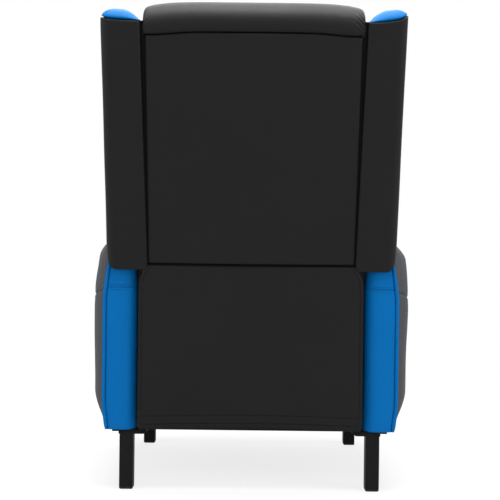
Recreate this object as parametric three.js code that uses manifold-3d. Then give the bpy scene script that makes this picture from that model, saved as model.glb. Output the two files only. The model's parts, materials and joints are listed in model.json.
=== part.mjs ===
import * as THREE from 'three'
import { mergeVertices } from 'three/addons/utils/BufferGeometryUtils.js'
import Module from 'manifold-3d'

const wasm = await Module()
wasm.setup()

// A push-back gaming recliner. Millimetres: x across, y from the front (-) to the rear (+), z up.
// The sitter faces -Y, so their left hand is on the +X side. Heights are above the floor, and y is
// measured from the plane of the arms' rear faces until the whole chair is centred at the end.

// Fits
const touch = 0.3
const pinFit = 0.5
const headFit = 0.3
const overrun = 30

// Legs and glides
const glideThickness = 5
const glideEdge = 2
const legWidth = 29
const legDepth = 34
const legInset = 247.8
const legPlateHeight = 118
const legPlateThickness = 5
const rearLegPlateInner = 222
const frontLegPlateInner = 228
const legPlateOuter = 279
const legPlateChamfer = 4
const rearLegCentre = -22
const frontLegCentre = -578

// Arms: a padded strip runs up the rear, over the top and down the front, between two side panels
const armGap = 480
const armDepth = 640
const armTop = 562
const armRearRadius = 115
const armFrontRadius = 110
const armLowerRadius = 14
const stripWidth = 75.5
const stripThickness = 22
const stripSeam = 430
const stripFootTaper = 9
const innerPanelThickness = 12
const panelBevel = 4
const armBulge = 21.5
const armShoulderFall = 23.5
const panelLip = 1.5
const panelTopEase = 65
const panelFootEase = 85
const frameBar = 45

// Steel plates of the mechanism stand in layers, one inside the next
const plateThickness = 3
const layerPitch = 5
const armToPlate = 8
const pinRadius = 4.5
const pinHeadRadius = 7.5
const pinHeadHeight = 1.2
const linkRadius = 9

// Base rails and cross tubes
const railFlangeOuter = 293
const railFront = -498
const railRear = -6
const railFlangeFront = -606
const railFlangeNarrow = 238
const railFlangeStep = -520
const railWebHeight = 30
const railLugRadius = 13
const railLugFoot = 26
const uprightRadius = 15
const uprightFoot = 34
const crossTube = 22
const crossTubeWall = 2
const frontTubeCentre = -468
const rearTubeCentre = -22

// Swing links carry the seat forward as the back reclines
const swingLength = 50
const swingLean = 30
const swingPivotHeight = 200
const frontSwingPivot = -430
const rearSwingPivot = -150
const reclineRange = 40

// Backrest, drawn in its own frame: its pivot is the origin and its height runs along the lean
const backPivotY = -75
const backPivotHeight = 355
const backLean = 13
const backPinRadius = 6
const backPinHead = 10
const backRear = 57
const backThickness = 130
const backPanelThickness = 12
const backTube = 22
const backSeamHeight = 139.7
const rollSeamHeight = 624
const rollHeight = 59
const backTop = rollSeamHeight + rollHeight
const backCushionFoot = 27
const backCushionHalf = 221
const backRollHalf = 226
const backPanelHalf = 217
const backPanelCrown = 4
const backFrameFoot = 20
const backFrameDrop = 12
const backFrameTop = rollSeamHeight - backFrameDrop
const backFrameRadius = 30
const bracketTop = 122
const bracketWidthRadius = 12
const bracketKnee = 62

// Wings at both sides of the back
const wingOuterLow = 307.5
const wingOuterHigh = 312
const wingInnerLow = 224.2
const wingInnerHigh = 230.2
const wingRise = 36
const wingTop = rollSeamHeight + wingRise
const wingFoot = 128
const wingCorner = 15
const wingSkin = 11
const wingNose = 27
const wingNoseAhead = 101
const wingSkinAhead = 76
const wingSideTaper = 5
const wingCrown = 14
const wingTopFall = 13
const wingCrownReach = 40
const wingArmClearance = 14
const wingFold = 2.6
const wingRollGap = 0.8

// Seat
const plateTop = 347
const plateBottom = 228
const plateFront = -587
const plateRear = -31
const plateRearTop = 330
const plateRearFoot = 284
const plateRearRise = -112
const plateTopEnd = -150
const plateFlange = 27
const plateCorner = 12
const lugHalf = 16
const lugMargin = 11
const plateWindowMargin = 22
const plateWindowRadius = 14
const seatFrameHalf = 227
const seatFrameFront = -622
const seatFrameRear = -150
const seatFrameTube = 22
const seatFrameRadius = 26
const springWire = 3.8
const springSwing = 19
const springBulge = 5
const springTurns = 8
const springOverlap = 14
const springSpacing = 104
const seatCushionHalf = 235
const seatCushionFront = -645
const seatCushionRear = -150
const seatCushionEdge = 76
const seatCushionCrown = 17
const seatCushionDraw = 7
const seatCushionPull = 5
const seatChannelDepth = 5
const seatChannelWidth = 20

// Footrest scissor, drawn closed: the main links hang, the cross links stand
const footPivotY = -555
const footPivotHeight = 275
const mainLength = 170
const crossPoint = 65
const crossLength = 122
const crossCrank = 16
const footRange = 80
const earReach = 28
const earDrop = 50
const torqueTubeRadius = 9
const footLinkRadius = 8.5
const boardSetback = 22
const boardThickness = 12
const boardHalf = 216
const boardTop = 0
const boardHeight = 190
const footFlange = 30
const footPadThickness = 50
const footPadHalf = 232
const footPadHeight = 194
const footPadCrown = 9
const footPadDraw = 5

// Lower rear cover: a cloth flap that hangs from the seam under the back's rear panel
const coverHalf = 239.5
const coverThickness = 4
const coverFoot = 129
const coverTopCut = 14
const coverShoulder = 29
const coverFootRadius = 10
const coverHem = 11

// Finishes
const finishes = {
  steel: { color: 0x222324, roughness: 0.45, metalness: 0.7 },
  zinc: { color: 0x8b8f93, roughness: 0.35, metalness: 0.9 },
  black: { color: 0x232324, roughness: 0.55, metalness: 0 },
  grey: { color: 0x55575a, roughness: 0.6, metalness: 0 },
  blue: { color: 0x0a6cb8, roughness: 0.5, metalness: 0 },
  cloth: { color: 0x202021, roughness: 0.85, metalness: 0 },
  wood: { color: 0xb08a5a, roughness: 0.7, metalness: 0 },
  plastic: { color: 0x1c1c1d, roughness: 0.6, metalness: 0 },
}

// Counts of facets
const pinSides = 10
const holeSides = 12
const cornerSteps = 4
const bigArcSteps = 7

const flat = (a, b) => new THREE.Vector2(a, b)
const point = (x, y, z) => new THREE.Vector3(x, y, z)
const radians = THREE.MathUtils.degToRad
const mix = THREE.MathUtils.lerp
const axisX = point(1, 0, 0)
const axisY = point(0, 1, 0)
const axisZ = point(0, 0, 1)
const fullTurn = Math.PI * 2
const quarterTurn = Math.PI / 2

// Solids: booleans work on closed meshes whose corners are shared
function shared(geometry) {
  const bare = geometry.index ? geometry.toNonIndexed() : geometry.clone()
  bare.deleteAttribute('normal')
  bare.deleteAttribute('uv')
  return mergeVertices(bare)
}

function solidOf(geometry) {
  const merged = shared(geometry)
  return new wasm.Manifold(new wasm.Mesh({
    numProp: 3,
    vertProperties: new Float32Array(merged.attributes.position.array),
    triVerts: new Uint32Array(merged.index.array),
  }))
}

function geometryOf(solid) {
  const mesh = solid.getMesh()
  const geometry = new THREE.BufferGeometry()
  geometry.setAttribute('position', new THREE.BufferAttribute(mesh.vertProperties, mesh.numProp))
  geometry.setIndex(new THREE.BufferAttribute(mesh.triVerts, 1))
  return geometry
}

function join(...geometries) {
  return geometryOf(geometries.map(solidOf).reduce((whole, next) => whole.add(next)))
}

function cut(geometry, ...tools) {
  return geometryOf(tools.map(solidOf).reduce((rest, tool) => rest.subtract(tool), solidOf(geometry)))
}

// The same piece on the other side of the chair
function mirrored(geometry) {
  const copy = shared(geometry)
  copy.scale(-1, 1, 1)
  const corners = copy.index.array
  for (let at = 0; at < corners.length; at += 3) {
    const swap = corners[at + 1]
    corners[at + 1] = corners[at + 2]
    corners[at + 2] = swap
  }
  return copy
}

// Outlines
function arc(centre, radius, from, to, steps) {
  return Array.from({ length: steps + 1 }, (_, step) => {
    const angle = mix(from, to, step / steps)
    return flat(centre.x + radius * Math.cos(angle), centre.y + radius * Math.sin(angle))
  })
}

function circle(centre, radius, sides = holeSides) {
  return arc(centre, radius, 0, fullTurn, sides).slice(0, sides)
}

// A rounded rectangle from its lower to its upper corner
function roundedBox(low, high, radius, steps = cornerSteps) {
  const centres = [
    flat(high.x - radius, low.y + radius), flat(high.x - radius, high.y - radius),
    flat(low.x + radius, high.y - radius), flat(low.x + radius, low.y + radius),
  ]
  return centres.flatMap((centre, corner) =>
    arc(centre, radius, (corner - 1) * quarterTurn, corner * quarterTurn, steps))
}

// The outline of a bar whose ends are round
function bar(from, to, fromRadius, toRadius = fromRadius) {
  const along = Math.atan2(to.y - from.y, to.x - from.x)
  const open = Math.acos((fromRadius - toRadius) / from.distanceTo(to))
  return [
    ...arc(to, toRadius, along - open, along + open, cornerSteps),
    ...arc(from, fromRadius, along + open, along - open + fullTurn, cornerSteps),
  ]
}

function extruded(outline, length, holes) {
  const shape = new THREE.Shape(outline)
  shape.holes = holes.map((hole) => new THREE.Path(hole))
  return new THREE.ExtrudeGeometry(shape, { depth: length, bevelEnabled: false })
}

// An outline in (y, z) that stands across the chair
function acrossX(outline, start, width, holes = []) {
  const geometry = extruded(outline, width, holes)
  geometry.applyMatrix4(new THREE.Matrix4().makeBasis(axisY, axisZ, axisX))
  return geometry.translate(start, 0, 0)
}

// An outline in (x, z) that runs forward from its rear face
function alongY(outline, rear, depth, holes = []) {
  const geometry = extruded(outline, depth, holes)
  geometry.applyMatrix4(new THREE.Matrix4().makeBasis(axisX, axisZ, axisY.clone().negate()))
  return geometry.translate(0, rear, 0)
}

// An outline in (x, y) that rises from its lower face
function alongZ(outline, low, height, holes = []) {
  return extruded(outline, height, holes).translate(0, 0, low)
}

// A round rod across the chair
function rod(from, to, centre, radius, sides = pinSides) {
  return acrossX(circle(centre, radius, sides), from, to - from)
}

// A closed skin over rings of the same count of points, with a face over each end
function skin(rings) {
  const count = rings[0].length
  const positions = rings.flat().flatMap((spot) => [spot.x, spot.y, spot.z])
  const faces = []
  for (let ring = 0; ring + 1 < rings.length; ring += 1) {
    for (let at = 0; at < count; at += 1) {
      const next = (at + 1) % count
      const a = ring * count + at
      const b = ring * count + next
      faces.push(a, b, b + count, a, b + count, a + count)
    }
  }
  const lastRing = (rings.length - 1) * count
  for (const [a, b, c] of capFaces(rings[0])) faces.push(c, b, a)
  for (const [a, b, c] of capFaces(rings.at(-1))) faces.push(a + lastRing, b + lastRing, c + lastRing)
  const geometry = new THREE.BufferGeometry()
  geometry.setAttribute('position', new THREE.Float32BufferAttribute(positions, 3))
  geometry.setIndex(faces)
  return facedOut(geometry)
}

// The faces over one ring, in the ring's own turning sense
function capFaces(ring) {
  const normal = point(0, 0, 0)
  ring.forEach((spot, at) => normal.add(spot.clone().cross(ring[(at + 1) % ring.length])))
  normal.normalize()
  const across = ring[1].clone().sub(ring[0]).normalize()
  const up = normal.clone().cross(across)
  return THREE.ShapeUtils.triangulateShape(ring.map((spot) => flat(spot.dot(across), spot.dot(up))), [])
}

// Turns a closed skin the right way out, told by the sign of its volume
function facedOut(geometry) {
  const spots = geometry.attributes.position
  const corners = geometry.index.array
  const corner = (at) => point(0, 0, 0).fromBufferAttribute(spots, corners[at])
  let volume = 0
  for (let at = 0; at < corners.length; at += 3) {
    volume += corner(at).dot(corner(at + 1).cross(corner(at + 2)))
  }
  if (volume < 0) corners.reverse()
  return geometry
}

// A padded block: a crown on its broad faces, edges drawn in and sides pulled in between corners
function padded({ half, centre, segments, crown, draw, pull = 0, channels = () => 0 }) {
  const block = shared(new THREE.BoxGeometry(2, 2, 2, segments.x, segments.y, segments.z))
  const spots = block.attributes.position
  for (let at = 0; at < spots.count; at += 1) {
    const share = point(0, 0, 0).fromBufferAttribute(spots, at)
    const field = (1 - share.x ** 4) * (1 - share.y ** 4)
    const thick = half.z - crown * (1 - field) - (share.z > 0 ? channels(share) * field : 0)
    const drawn = draw * share.z ** 2
    spots.setXYZ(at,
      centre.x + share.x * (half.x - drawn - pull * (1 - share.y ** 2)),
      centre.y + share.y * (half.y - drawn - pull * (1 - share.x ** 2)),
      centre.z + share.z * thick)
  }
  return block
}

// Plates of the mechanism: layer 0 is the outermost, and each next one lies further in
const plateOuterFace = armGap / 2 - armToPlate
const innerFace = (layer) => plateOuterFace - plateThickness - layer * layerPitch
const outerFace = (layer) => plateOuterFace - layer * layerPitch
const pinHole = pinRadius + pinFit

function plate(layer, ...outlines) {
  return join(...outlines.map((outline) => acrossX(outline, innerFace(layer), plateThickness)))
}

function bored(geometry, layer, centre, radius = pinHole) {
  return cut(geometry, rod(innerFace(layer) - overrun, outerFace(layer) + overrun, centre, radius, holeSides))
}

// A slot for a pin that slides between two centres
function slotted(geometry, from, to) {
  const outline = bar(from, to, pinHole)
  return cut(geometry, acrossX(outline, innerFace(0) - overrun, plateThickness + 2 * overrun))
}

// A riveted pin of one plate that passes through another and ends in a head
function riveted(geometry, own, other, centre, radius = pinRadius, headRadius = pinHeadRadius) {
  const outward = other < own
  const shank = outward
    ? rod(innerFace(own), outerFace(other) + headFit, centre, radius)
    : rod(innerFace(other) - headFit, outerFace(own), centre, radius)
  const headStart = outward ? outerFace(other) + headFit : innerFace(other) - headFit - pinHeadHeight
  const head = rod(headStart, headStart + pinHeadHeight, centre, headRadius)
  return join(geometry, shank, head)
}

// The chair's groups
const chair = new THREE.Group()
const base = new THREE.Group()
const seat = new THREE.Group()
const back = new THREE.Group()
back.position.set(0, backPivotY, backPivotHeight)
back.rotation.x = -radians(backLean)
chair.add(base, seat, back)

function piece(group, name, geometry, finish) {
  const mesh = new THREE.Mesh(shared(geometry), new THREE.MeshStandardMaterial(finishes[finish]))
  mesh.name = name
  group.add(mesh)
  return mesh
}

// One piece on the sitter's left, and its mirror image on their right
function pair(group, name, geometry, finish) {
  piece(group, `${name}_left`, geometry, finish)
  piece(group, `${name}_right`, mirrored(geometry), finish)
}

// Legs, each with a flat plate that bolts up under the rail
const railUnderside = legPlateHeight + legPlateThickness + touch
const railTop = railUnderside + plateThickness
const armFoot = railTop + touch

function leg(centre, plateInner) {
  const plateTopHeight = legPlateHeight + legPlateThickness
  const outline = [
    flat(legInset, glideThickness + touch),
    flat(legInset + legWidth, glideThickness + touch),
    flat(legInset + legWidth, legPlateHeight),
    flat(legPlateOuter, legPlateHeight),
    flat(legPlateOuter, plateTopHeight),
    flat(plateInner, plateTopHeight),
    flat(plateInner, legPlateHeight + legPlateChamfer),
    flat(plateInner + legPlateChamfer, legPlateHeight),
    flat(legInset, legPlateHeight),
  ]
  return alongY(outline, centre + legDepth / 2, legDepth)
}

function glide(centre) {
  const low = flat(legInset, centre - legDepth / 2)
  const high = flat(legInset + legWidth, centre + legDepth / 2)
  const ring = (inset, height) => roundedBox(
    flat(low.x + inset, low.y + inset), flat(high.x - inset, high.y - inset), glideEdge, 2)
    .map((spot) => point(spot.x, spot.y, height))
  return skin([ring(glideEdge, 0), ring(0, glideEdge), ring(0, glideThickness)])
}

function buildLegs() {
  const stands = [['rear', rearLegCentre, rearLegPlateInner], ['front', frontLegCentre, frontLegPlateInner]]
  for (const [place, centre, plateInner] of stands) {
    pair(base, `${place}_leg`, leg(centre, plateInner), 'steel')
    pair(base, `${place}_glide`, glide(centre), 'plastic')
  }
}

// Rails: an angle with a foot flange under the arm and a web with lugs for the links
const swingReach = swingLength * Math.sin(radians(swingLean))
const swingRise = swingLength * Math.cos(radians(swingLean))
const backPivot = flat(backPivotY, backPivotHeight)
const railLayer = 2
const swingLayer = 1
const seatLayer = 0

function lug(centre, radius, footHalf) {
  const foot = railTop - plateThickness
  const lean = Math.atan2(footHalf - radius, centre.y - foot)
  return [
    flat(centre.x - footHalf, foot),
    flat(centre.x + footHalf, foot),
    ...arc(centre, radius, lean, Math.PI - lean, bigArcSteps),
  ]
}

function buildRails() {
  const foot = railUnderside
  const web = [
    flat(railFront, foot), flat(railRear, foot),
    flat(railRear, foot + railWebHeight), flat(railFront, foot + railWebHeight),
  ]
  const frontLug = flat(frontSwingPivot, swingPivotHeight)
  const rearLug = flat(rearSwingPivot, swingPivotHeight)
  let rail = plate(railLayer, web,
    lug(frontLug, railLugRadius, railLugFoot), lug(rearLug, railLugRadius, railLugFoot),
    lug(backPivot, uprightRadius, uprightFoot))
  const inner = innerFace(railLayer)
  const flange = alongZ([
    flat(inner, railFront), flat(railFlangeNarrow, railFlangeStep), flat(railFlangeNarrow, railFlangeFront),
    flat(railFlangeOuter, railFlangeFront), flat(railFlangeOuter, railRear), flat(inner, railRear),
  ], foot, plateThickness)
  rail = join(rail, flange)
  rail = bored(rail, railLayer, frontLug)
  rail = bored(rail, railLayer, rearLug)
  rail = bored(rail, railLayer, backPivot, backPinRadius + pinFit)
  pair(base, 'base_rail', rail, 'steel')
}

function squareTube(centre) {
  const low = railTop + touch
  const outer = roundedBox(flat(centre - crossTube / 2, low), flat(centre + crossTube / 2, low + crossTube),
    crossTubeWall, 2)
  const inner = roundedBox(
    flat(centre - crossTube / 2 + crossTubeWall, low + crossTubeWall),
    flat(centre + crossTube / 2 - crossTubeWall, low + crossTube - crossTubeWall), crossTubeWall / 2, 2)
  const half = innerFace(railLayer) - touch
  return acrossX(outer, -half, 2 * half, [inner])
}

function buildCrossTubes() {
  piece(base, 'front_cross_tube', squareTube(frontTubeCentre), 'steel')
  piece(base, 'rear_cross_tube', squareTube(rearTubeCentre), 'steel')
}

// The side outline of an arm, moved in by an inset, always with the same count of points
const armInner = armGap / 2
const armOuter = armInner + stripWidth

function armOutline(inset, footInset = inset) {
  const corner = (y, z, radius, quarter, steps) => {
    const own = Math.max(radius - inset, touch)
    const middle = (quarter + 1 / 2) * quarterTurn
    const rearward = Math.sign(Math.cos(middle))
    const upward = Math.sign(Math.sin(middle))
    const drop = upward < 0 ? footInset : inset
    const centre = flat(y - rearward * (inset + own), z - upward * (drop + own))
    return arc(centre, own, quarter * quarterTurn, (quarter + 1) * quarterTurn, steps)
  }
  return [
    ...corner(0, armTop, armRearRadius, 0, bigArcSteps),
    ...corner(-armDepth, armTop, armFrontRadius, 1, bigArcSteps),
    ...corner(-armDepth, armFoot, armLowerRadius, 2, cornerSteps),
    ...corner(0, armFoot, armLowerRadius, 3, cornerSteps),
  ]
}

// The strip's section: shares of its width from the inner edge, and of its thickness from outside
const stripSectionShares = [
  [0, 1], [0, 0.62], [0.05, 0.3], [0.16, 0.09], [0.4, 0], [0.75, 0.02], [0.94, 0.08], [1, 0.24], [1, 1],
]
const stripEndShares = [0.3, 0.08, 0]

// A padded strip that follows stations of { y, z, out, width }, thinner at both of its ends
function strip(stations) {
  return skin(stations.map(({ spot, out, width }, at) => {
    const fromEnd = Math.min(at, stations.length - 1 - at, stripEndShares.length - 1)
    const ease = stripEndShares[fromEnd]
    return stripSectionShares.map(([across, depth]) => {
      const deep = (depth + (1 - depth) * ease) * stripThickness
      return point(armInner + across * width, spot.x - out.x * deep, spot.y - out.y * deep)
    })
  }))
}

const along = (angle) => flat(Math.cos(angle), Math.sin(angle))

// Above its seam the strip grows narrower, and is narrowest on top of the arm
function stripWidthAt(height) {
  const rise = THREE.MathUtils.clamp((height - stripSeam) / (armTop - stripSeam), 0, 1)
  return stripWidth - armShoulderFall * rise
}

function station(spot, out, width = stripWidthAt(spot.y)) {
  return { spot, out, width }
}

// Heights of a straight facing's stations, as shares of its height, with its taper at the foot
const facingShares = [[0, 1], [0.03, 0.6], [0.12, 0.25], [0.3, 0], [0.6, 0], [0.88, 0], [0.975, 0], [1, 0]]

function facing(y, out) {
  return strip(facingShares.map(([rise, taper]) =>
    station(flat(y, mix(armFoot, stripSeam - touch, rise)), out, stripWidth - stripFootTaper * taper)))
}

function armTopPad() {
  const rearCentre = flat(-armRearRadius, armTop - armRearRadius)
  const frontCentre = flat(-armDepth + armFrontRadius, armTop - armFrontRadius)
  const rearTurn = arc(rearCentre, armRearRadius, 0, quarterTurn, bigArcSteps)
  const frontTurn = arc(frontCentre, armFrontRadius, quarterTurn, Math.PI, bigArcSteps)
  const outs = (steps, from) => steps.map((_, at) => along(from + quarterTurn * at / (steps.length - 1)))
  const rearOuts = outs(rearTurn, 0)
  const frontOuts = outs(frontTurn, quarterTurn)
  return strip([
    station(flat(0, stripSeam), along(0)),
    station(flat(0, stripSeam + stripThickness / 4), along(0)),
    ...rearTurn.map((spot, at) => station(spot, rearOuts[at])),
    ...frontTurn.map((spot, at) => station(spot, frontOuts[at])),
    station(flat(-armDepth, stripSeam + stripThickness / 4), along(Math.PI)),
    station(flat(-armDepth, stripSeam), along(Math.PI)),
  ])
}

// The outer panel swells out quickly from its seam: insets and rises of its rings
const domeShares = [[0, 0.02], [0.02, 0.3], [0.1, 0.58], [0.3, 0.83], [0.62, 0.96], [1, 1]]
const domeInset = 96

function outerPanel() {
  const place = (spot, rise) => {
    const edge = armInner + stripWidthAt(spot.y) + touch + panelLip
    const below = THREE.MathUtils.smoothstep(armTop - spot.y, 0, panelTopEase)
    const above = THREE.MathUtils.smoothstep(spot.y - armFoot, 0, panelFootEase)
    return point(edge + rise * below * above * (armOuter + armBulge - edge), spot.x, spot.y)
  }
  const rings = domeShares.map(([inset, rise]) => armOutline(inset * domeInset).map((spot) => place(spot, rise)))
  const backing = armOutline(0).map((spot) => point(armInner, spot.x, spot.y))
  const inside = [
    flat(armInner - overrun, armFoot - overrun), flat(armOuter + touch, armFoot - overrun),
    flat(armOuter + touch, stripSeam), flat(armOuter - armShoulderFall + touch, armTop),
    flat(armOuter - armShoulderFall + touch, armTop + overrun), flat(armInner - overrun, armTop + overrun),
  ]
  return cut(skin([backing, ...rings]), alongY(inside, overrun, armDepth + 2 * overrun))
}

function innerPanel() {
  const ring = (inset, x) => armOutline(stripThickness + touch + inset, inset)
    .map((spot) => point(x, spot.x, spot.y))
  return skin([
    ring(0, armInner + innerPanelThickness), ring(0, armInner + panelBevel),
    ring(panelBevel, armInner),
  ])
}

function armFrame() {
  const outline = armOutline(stripThickness + touch, 0)
  const inset = stripThickness + frameBar
  const middle = -armDepth / 2
  const window = (rear, front) => roundedBox(
    flat(front, armFoot + inset), flat(rear, armTop - inset), armLowerRadius)
  const start = armInner + innerPanelThickness + touch
  const board = acrossX(outline, start, armOuter - start, [
    window(-inset, middle + frameBar / 2),
    window(middle - frameBar / 2, -armDepth + inset),
  ])
  const shoulder = [
    flat(armOuter, stripSeam), flat(armOuter + overrun, stripSeam),
    flat(armOuter + overrun, armTop), flat(armOuter - armShoulderFall, armTop),
  ]
  return cut(board, alongY(shoulder, overrun, armDepth + 2 * overrun))
}

function buildArms() {
  pair(base, 'arm_frame', armFrame(), 'wood')
  pair(base, 'arm_top_pad', armTopPad(), 'blue')
  pair(base, 'arm_rear_facing', facing(0, along(0)), 'blue')
  pair(base, 'arm_front_facing', facing(-armDepth, along(Math.PI)), 'blue')
  pair(base, 'arm_outer_panel', outerPanel(), 'grey')
  pair(base, 'arm_inner_panel', innerPanel(), 'grey')
}

// Swing links: each turns on the rail's lug, and its upper pin carries the seat plate
function swingLink() {
  const foot = flat(0, 0)
  const head = flat(0, swingLength)
  let link = plate(swingLayer, bar(foot, head, linkRadius))
  link = riveted(link, swingLayer, railLayer, foot)
  return riveted(link, swingLayer, seatLayer, head)
}

function buildSwingLinks() {
  for (const [place, y] of [['front', frontSwingPivot], ['rear', rearSwingPivot]]) {
    const turned = new THREE.Group()
    turned.position.set(0, y, swingPivotHeight)
    turned.rotation.x = -radians(swingLean)
    base.add(turned)
    pair(turned, `${place}_swing_link`, swingLink(), 'zinc')
  }
}

// Seat plates: the web hangs under the seat frame and carries every pivot of the seat
const drivePin = flat(backPivotY + swingReach, backPivotHeight - swingRise)
const slotDrop = 2 * (swingLength - swingRise)
const footPivot = flat(footPivotY, footPivotHeight)
const slideRest = flat(footPivotY, footPivotHeight - 2 * crossPoint)
const slideOpen = flat(footPivotY, footPivotHeight - 2 * crossPoint * Math.cos(radians(footRange)))

function seatPlate() {
  const swingTop = swingPivotHeight + swingRise
  const frontHole = flat(frontSwingPivot + swingReach, swingTop)
  const rearHole = flat(rearSwingPivot + swingReach, swingTop)
  const lugFoot = slideRest.y - pinHole - lugMargin
  const web = [
    flat(plateFront, plateBottom + plateCorner), flat(plateFront + plateCorner, plateBottom),
    flat(plateRearRise, plateBottom), flat(plateRear - plateCorner, plateRearFoot),
    flat(plateRear, plateRearFoot + plateCorner), flat(plateRear, plateRearTop),
    flat(plateTopEnd, plateTop), flat(plateFront, plateTop),
  ]
  const slideLug = bar(flat(footPivotY, lugFoot + lugHalf), flat(footPivotY, plateBottom + lugHalf), lugHalf)
  const windowLow = swingTop + plateWindowMargin
  const windowHigh = plateTop - plateWindowMargin
  const lightening = (front, rear) => acrossX(
    roundedBox(flat(front, windowLow), flat(rear, windowHigh), plateWindowRadius),
    innerFace(seatLayer) - overrun, plateThickness + 2 * overrun)
  const flange = alongZ([
    flat(plateOuterFace - plateFlange, plateFront), flat(plateOuterFace, plateFront),
    flat(plateOuterFace, plateTopEnd), flat(plateOuterFace - plateFlange, plateTopEnd),
  ], plateTop, plateThickness)
  let whole = join(plate(seatLayer, web, slideLug), flange)
  whole = cut(whole,
    lightening(footPivotY + lugHalf + plateWindowMargin, frontHole.x - plateWindowMargin),
    lightening(frontHole.x + plateWindowMargin, rearHole.x - plateWindowMargin))
  for (const hole of [frontHole, rearHole, footPivot]) whole = bored(whole, seatLayer, hole)
  whole = slotted(whole, slideRest, slideOpen)
  return slotted(whole, flat(drivePin.x, drivePin.y - slotDrop), drivePin)
}

const seatFrameLow = plateTop + plateThickness + touch
const seatFrameHigh = seatFrameLow + seatFrameTube

function seatFrame() {
  const outer = roundedBox(flat(-seatFrameHalf, seatFrameFront), flat(seatFrameHalf, seatFrameRear), seatFrameRadius)
  const inner = roundedBox(
    flat(-seatFrameHalf + seatFrameTube, seatFrameFront + seatFrameTube),
    flat(seatFrameHalf - seatFrameTube, seatFrameRear - seatFrameTube), seatFrameRadius - seatFrameTube)
  return alongZ(outer, seatFrameLow, seatFrameTube, [inner])
}

// A sinuous seat spring: one wire that weaves from the front tube to the rear tube
const wireRadius = springWire / 2
const springHeight = seatFrameHigh + touch + wireRadius
const wireSides = 5
const springPlaceShares = [-1.5, -0.5, 0.5, 1.5]
const wireStepsPerTurn = 8

class SinuousWire extends THREE.Curve {
  constructor(centre) {
    super()
    this.centre = centre
  }

  getPoint(share) {
    const front = seatFrameFront + seatFrameTube - springOverlap
    const rear = seatFrameRear - seatFrameTube + springOverlap
    const turn = fullTurn * springTurns * share
    return point(this.centre + springSwing * Math.sin(turn),
      mix(front, rear, share) - springBulge * Math.sin(2 * turn), springHeight)
  }
}

function springWireGeometry(wire) {
  const section = new THREE.Shape(circle(flat(0, 0), wireRadius, wireSides))
  return new THREE.ExtrudeGeometry(section,
    { steps: springTurns * wireStepsPerTurn, bevelEnabled: false, extrudePath: wire })
}

// The least gap of the wire to itself, measured between points that lie over a quarter turn apart
function leastWireGap(wire) {
  const spots = wire.getSpacedPoints(springTurns * wireStepsPerTurn * 4)
  const apart = wireStepsPerTurn * 2
  let least = Infinity
  spots.forEach((spot, at) => {
    for (let other = at + apart; other < spots.length; other += 1) {
      least = Math.min(least, spot.distanceTo(spots[other]))
    }
  })
  return least - springWire
}

function buildSeatSprings() {
  springPlaceShares.forEach((place, at) => {
    piece(seat, `seat_spring_${at + 1}`, springWireGeometry(new SinuousWire(place * springSpacing)), 'zinc')
  })
  console.log(`least gap of a seat spring to itself: ${leastWireGap(new SinuousWire(0)).toFixed(1)} mm`)
}

const seatCushionLow = springHeight + wireRadius + touch
const seatChannelShares = [-0.42, 0.42]

function seatCushion() {
  const half = point(seatCushionHalf, (seatCushionRear - seatCushionFront) / 2, (seatCushionEdge + seatCushionCrown) / 2)
  const channels = (share) => seatChannelShares.reduce((deep, place) =>
    deep + seatChannelDepth * Math.exp(-(((share.x - place) * half.x / seatChannelWidth) ** 2)), 0)
  const block = padded({
    half,
    centre: point(0, (seatCushionFront + seatCushionRear) / 2, seatCushionLow + half.z),
    segments: { x: 20, y: 12, z: 4 },
    crown: seatCushionCrown,
    draw: seatCushionDraw,
    pull: seatCushionPull,
    channels,
  })
  return flatBelow(block, seatCushionLow + seatCushionCrown, seatCushionLow)
}

// Lays a cushion's lower face flat on what carries it
function flatBelow(geometry, edge, low) {
  const spots = geometry.attributes.position
  for (let at = 0; at < spots.count; at += 1) {
    if (spots.getZ(at) <= edge + touch) spots.setZ(at, low)
  }
  return geometry
}

function buildSeat() {
  pair(seat, 'seat_plate', seatPlate(), 'steel')
  piece(seat, 'seat_frame', seatFrame(), 'steel')
  buildSeatSprings()
  piece(seat, 'seat_cushion', seatCushion(), 'black')
}

// Footrest scissor. Each link is drawn in a group that stands at its own pivot
const mainLayer = 2
const crossLayer = 1
const extensionLayer = 3
const bracketLayer = 4
const footSpread = mainLength - crossPoint

function mainLink() {
  const pivot = flat(0, 0)
  const end = flat(0, -mainLength)
  const ear = flat(earReach, -earDrop)
  let link = plate(mainLayer, bar(pivot, end, footLinkRadius), bar(flat(0, -earDrop), ear, torqueTubeRadius))
  link = bored(link, mainLayer, end)
  link = riveted(link, mainLayer, seatLayer, pivot)
  return riveted(link, mainLayer, crossLayer, flat(0, -crossPoint))
}

// The cross link is cranked forward so that it passes in front of the main link's pivot pin
function crossLink() {
  const slide = flat(0, -crossPoint)
  const pivot = flat(0, 0)
  const crank = flat(-crossCrank, crossPoint)
  const end = flat(0, crossLength)
  let link = plate(crossLayer, bar(slide, pivot, footLinkRadius), bar(pivot, crank, footLinkRadius),
    bar(crank, end, footLinkRadius))
  link = bored(link, crossLayer, pivot)
  link = bored(link, crossLayer, end)
  return riveted(link, crossLayer, seatLayer, slide)
}

function extensionLink() {
  const foot = flat(0, 0)
  const head = flat(0, crossLength)
  let link = plate(extensionLayer, bar(foot, head, footLinkRadius))
  link = bored(link, extensionLayer, head)
  return riveted(link, extensionLayer, mainLayer, foot)
}

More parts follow.
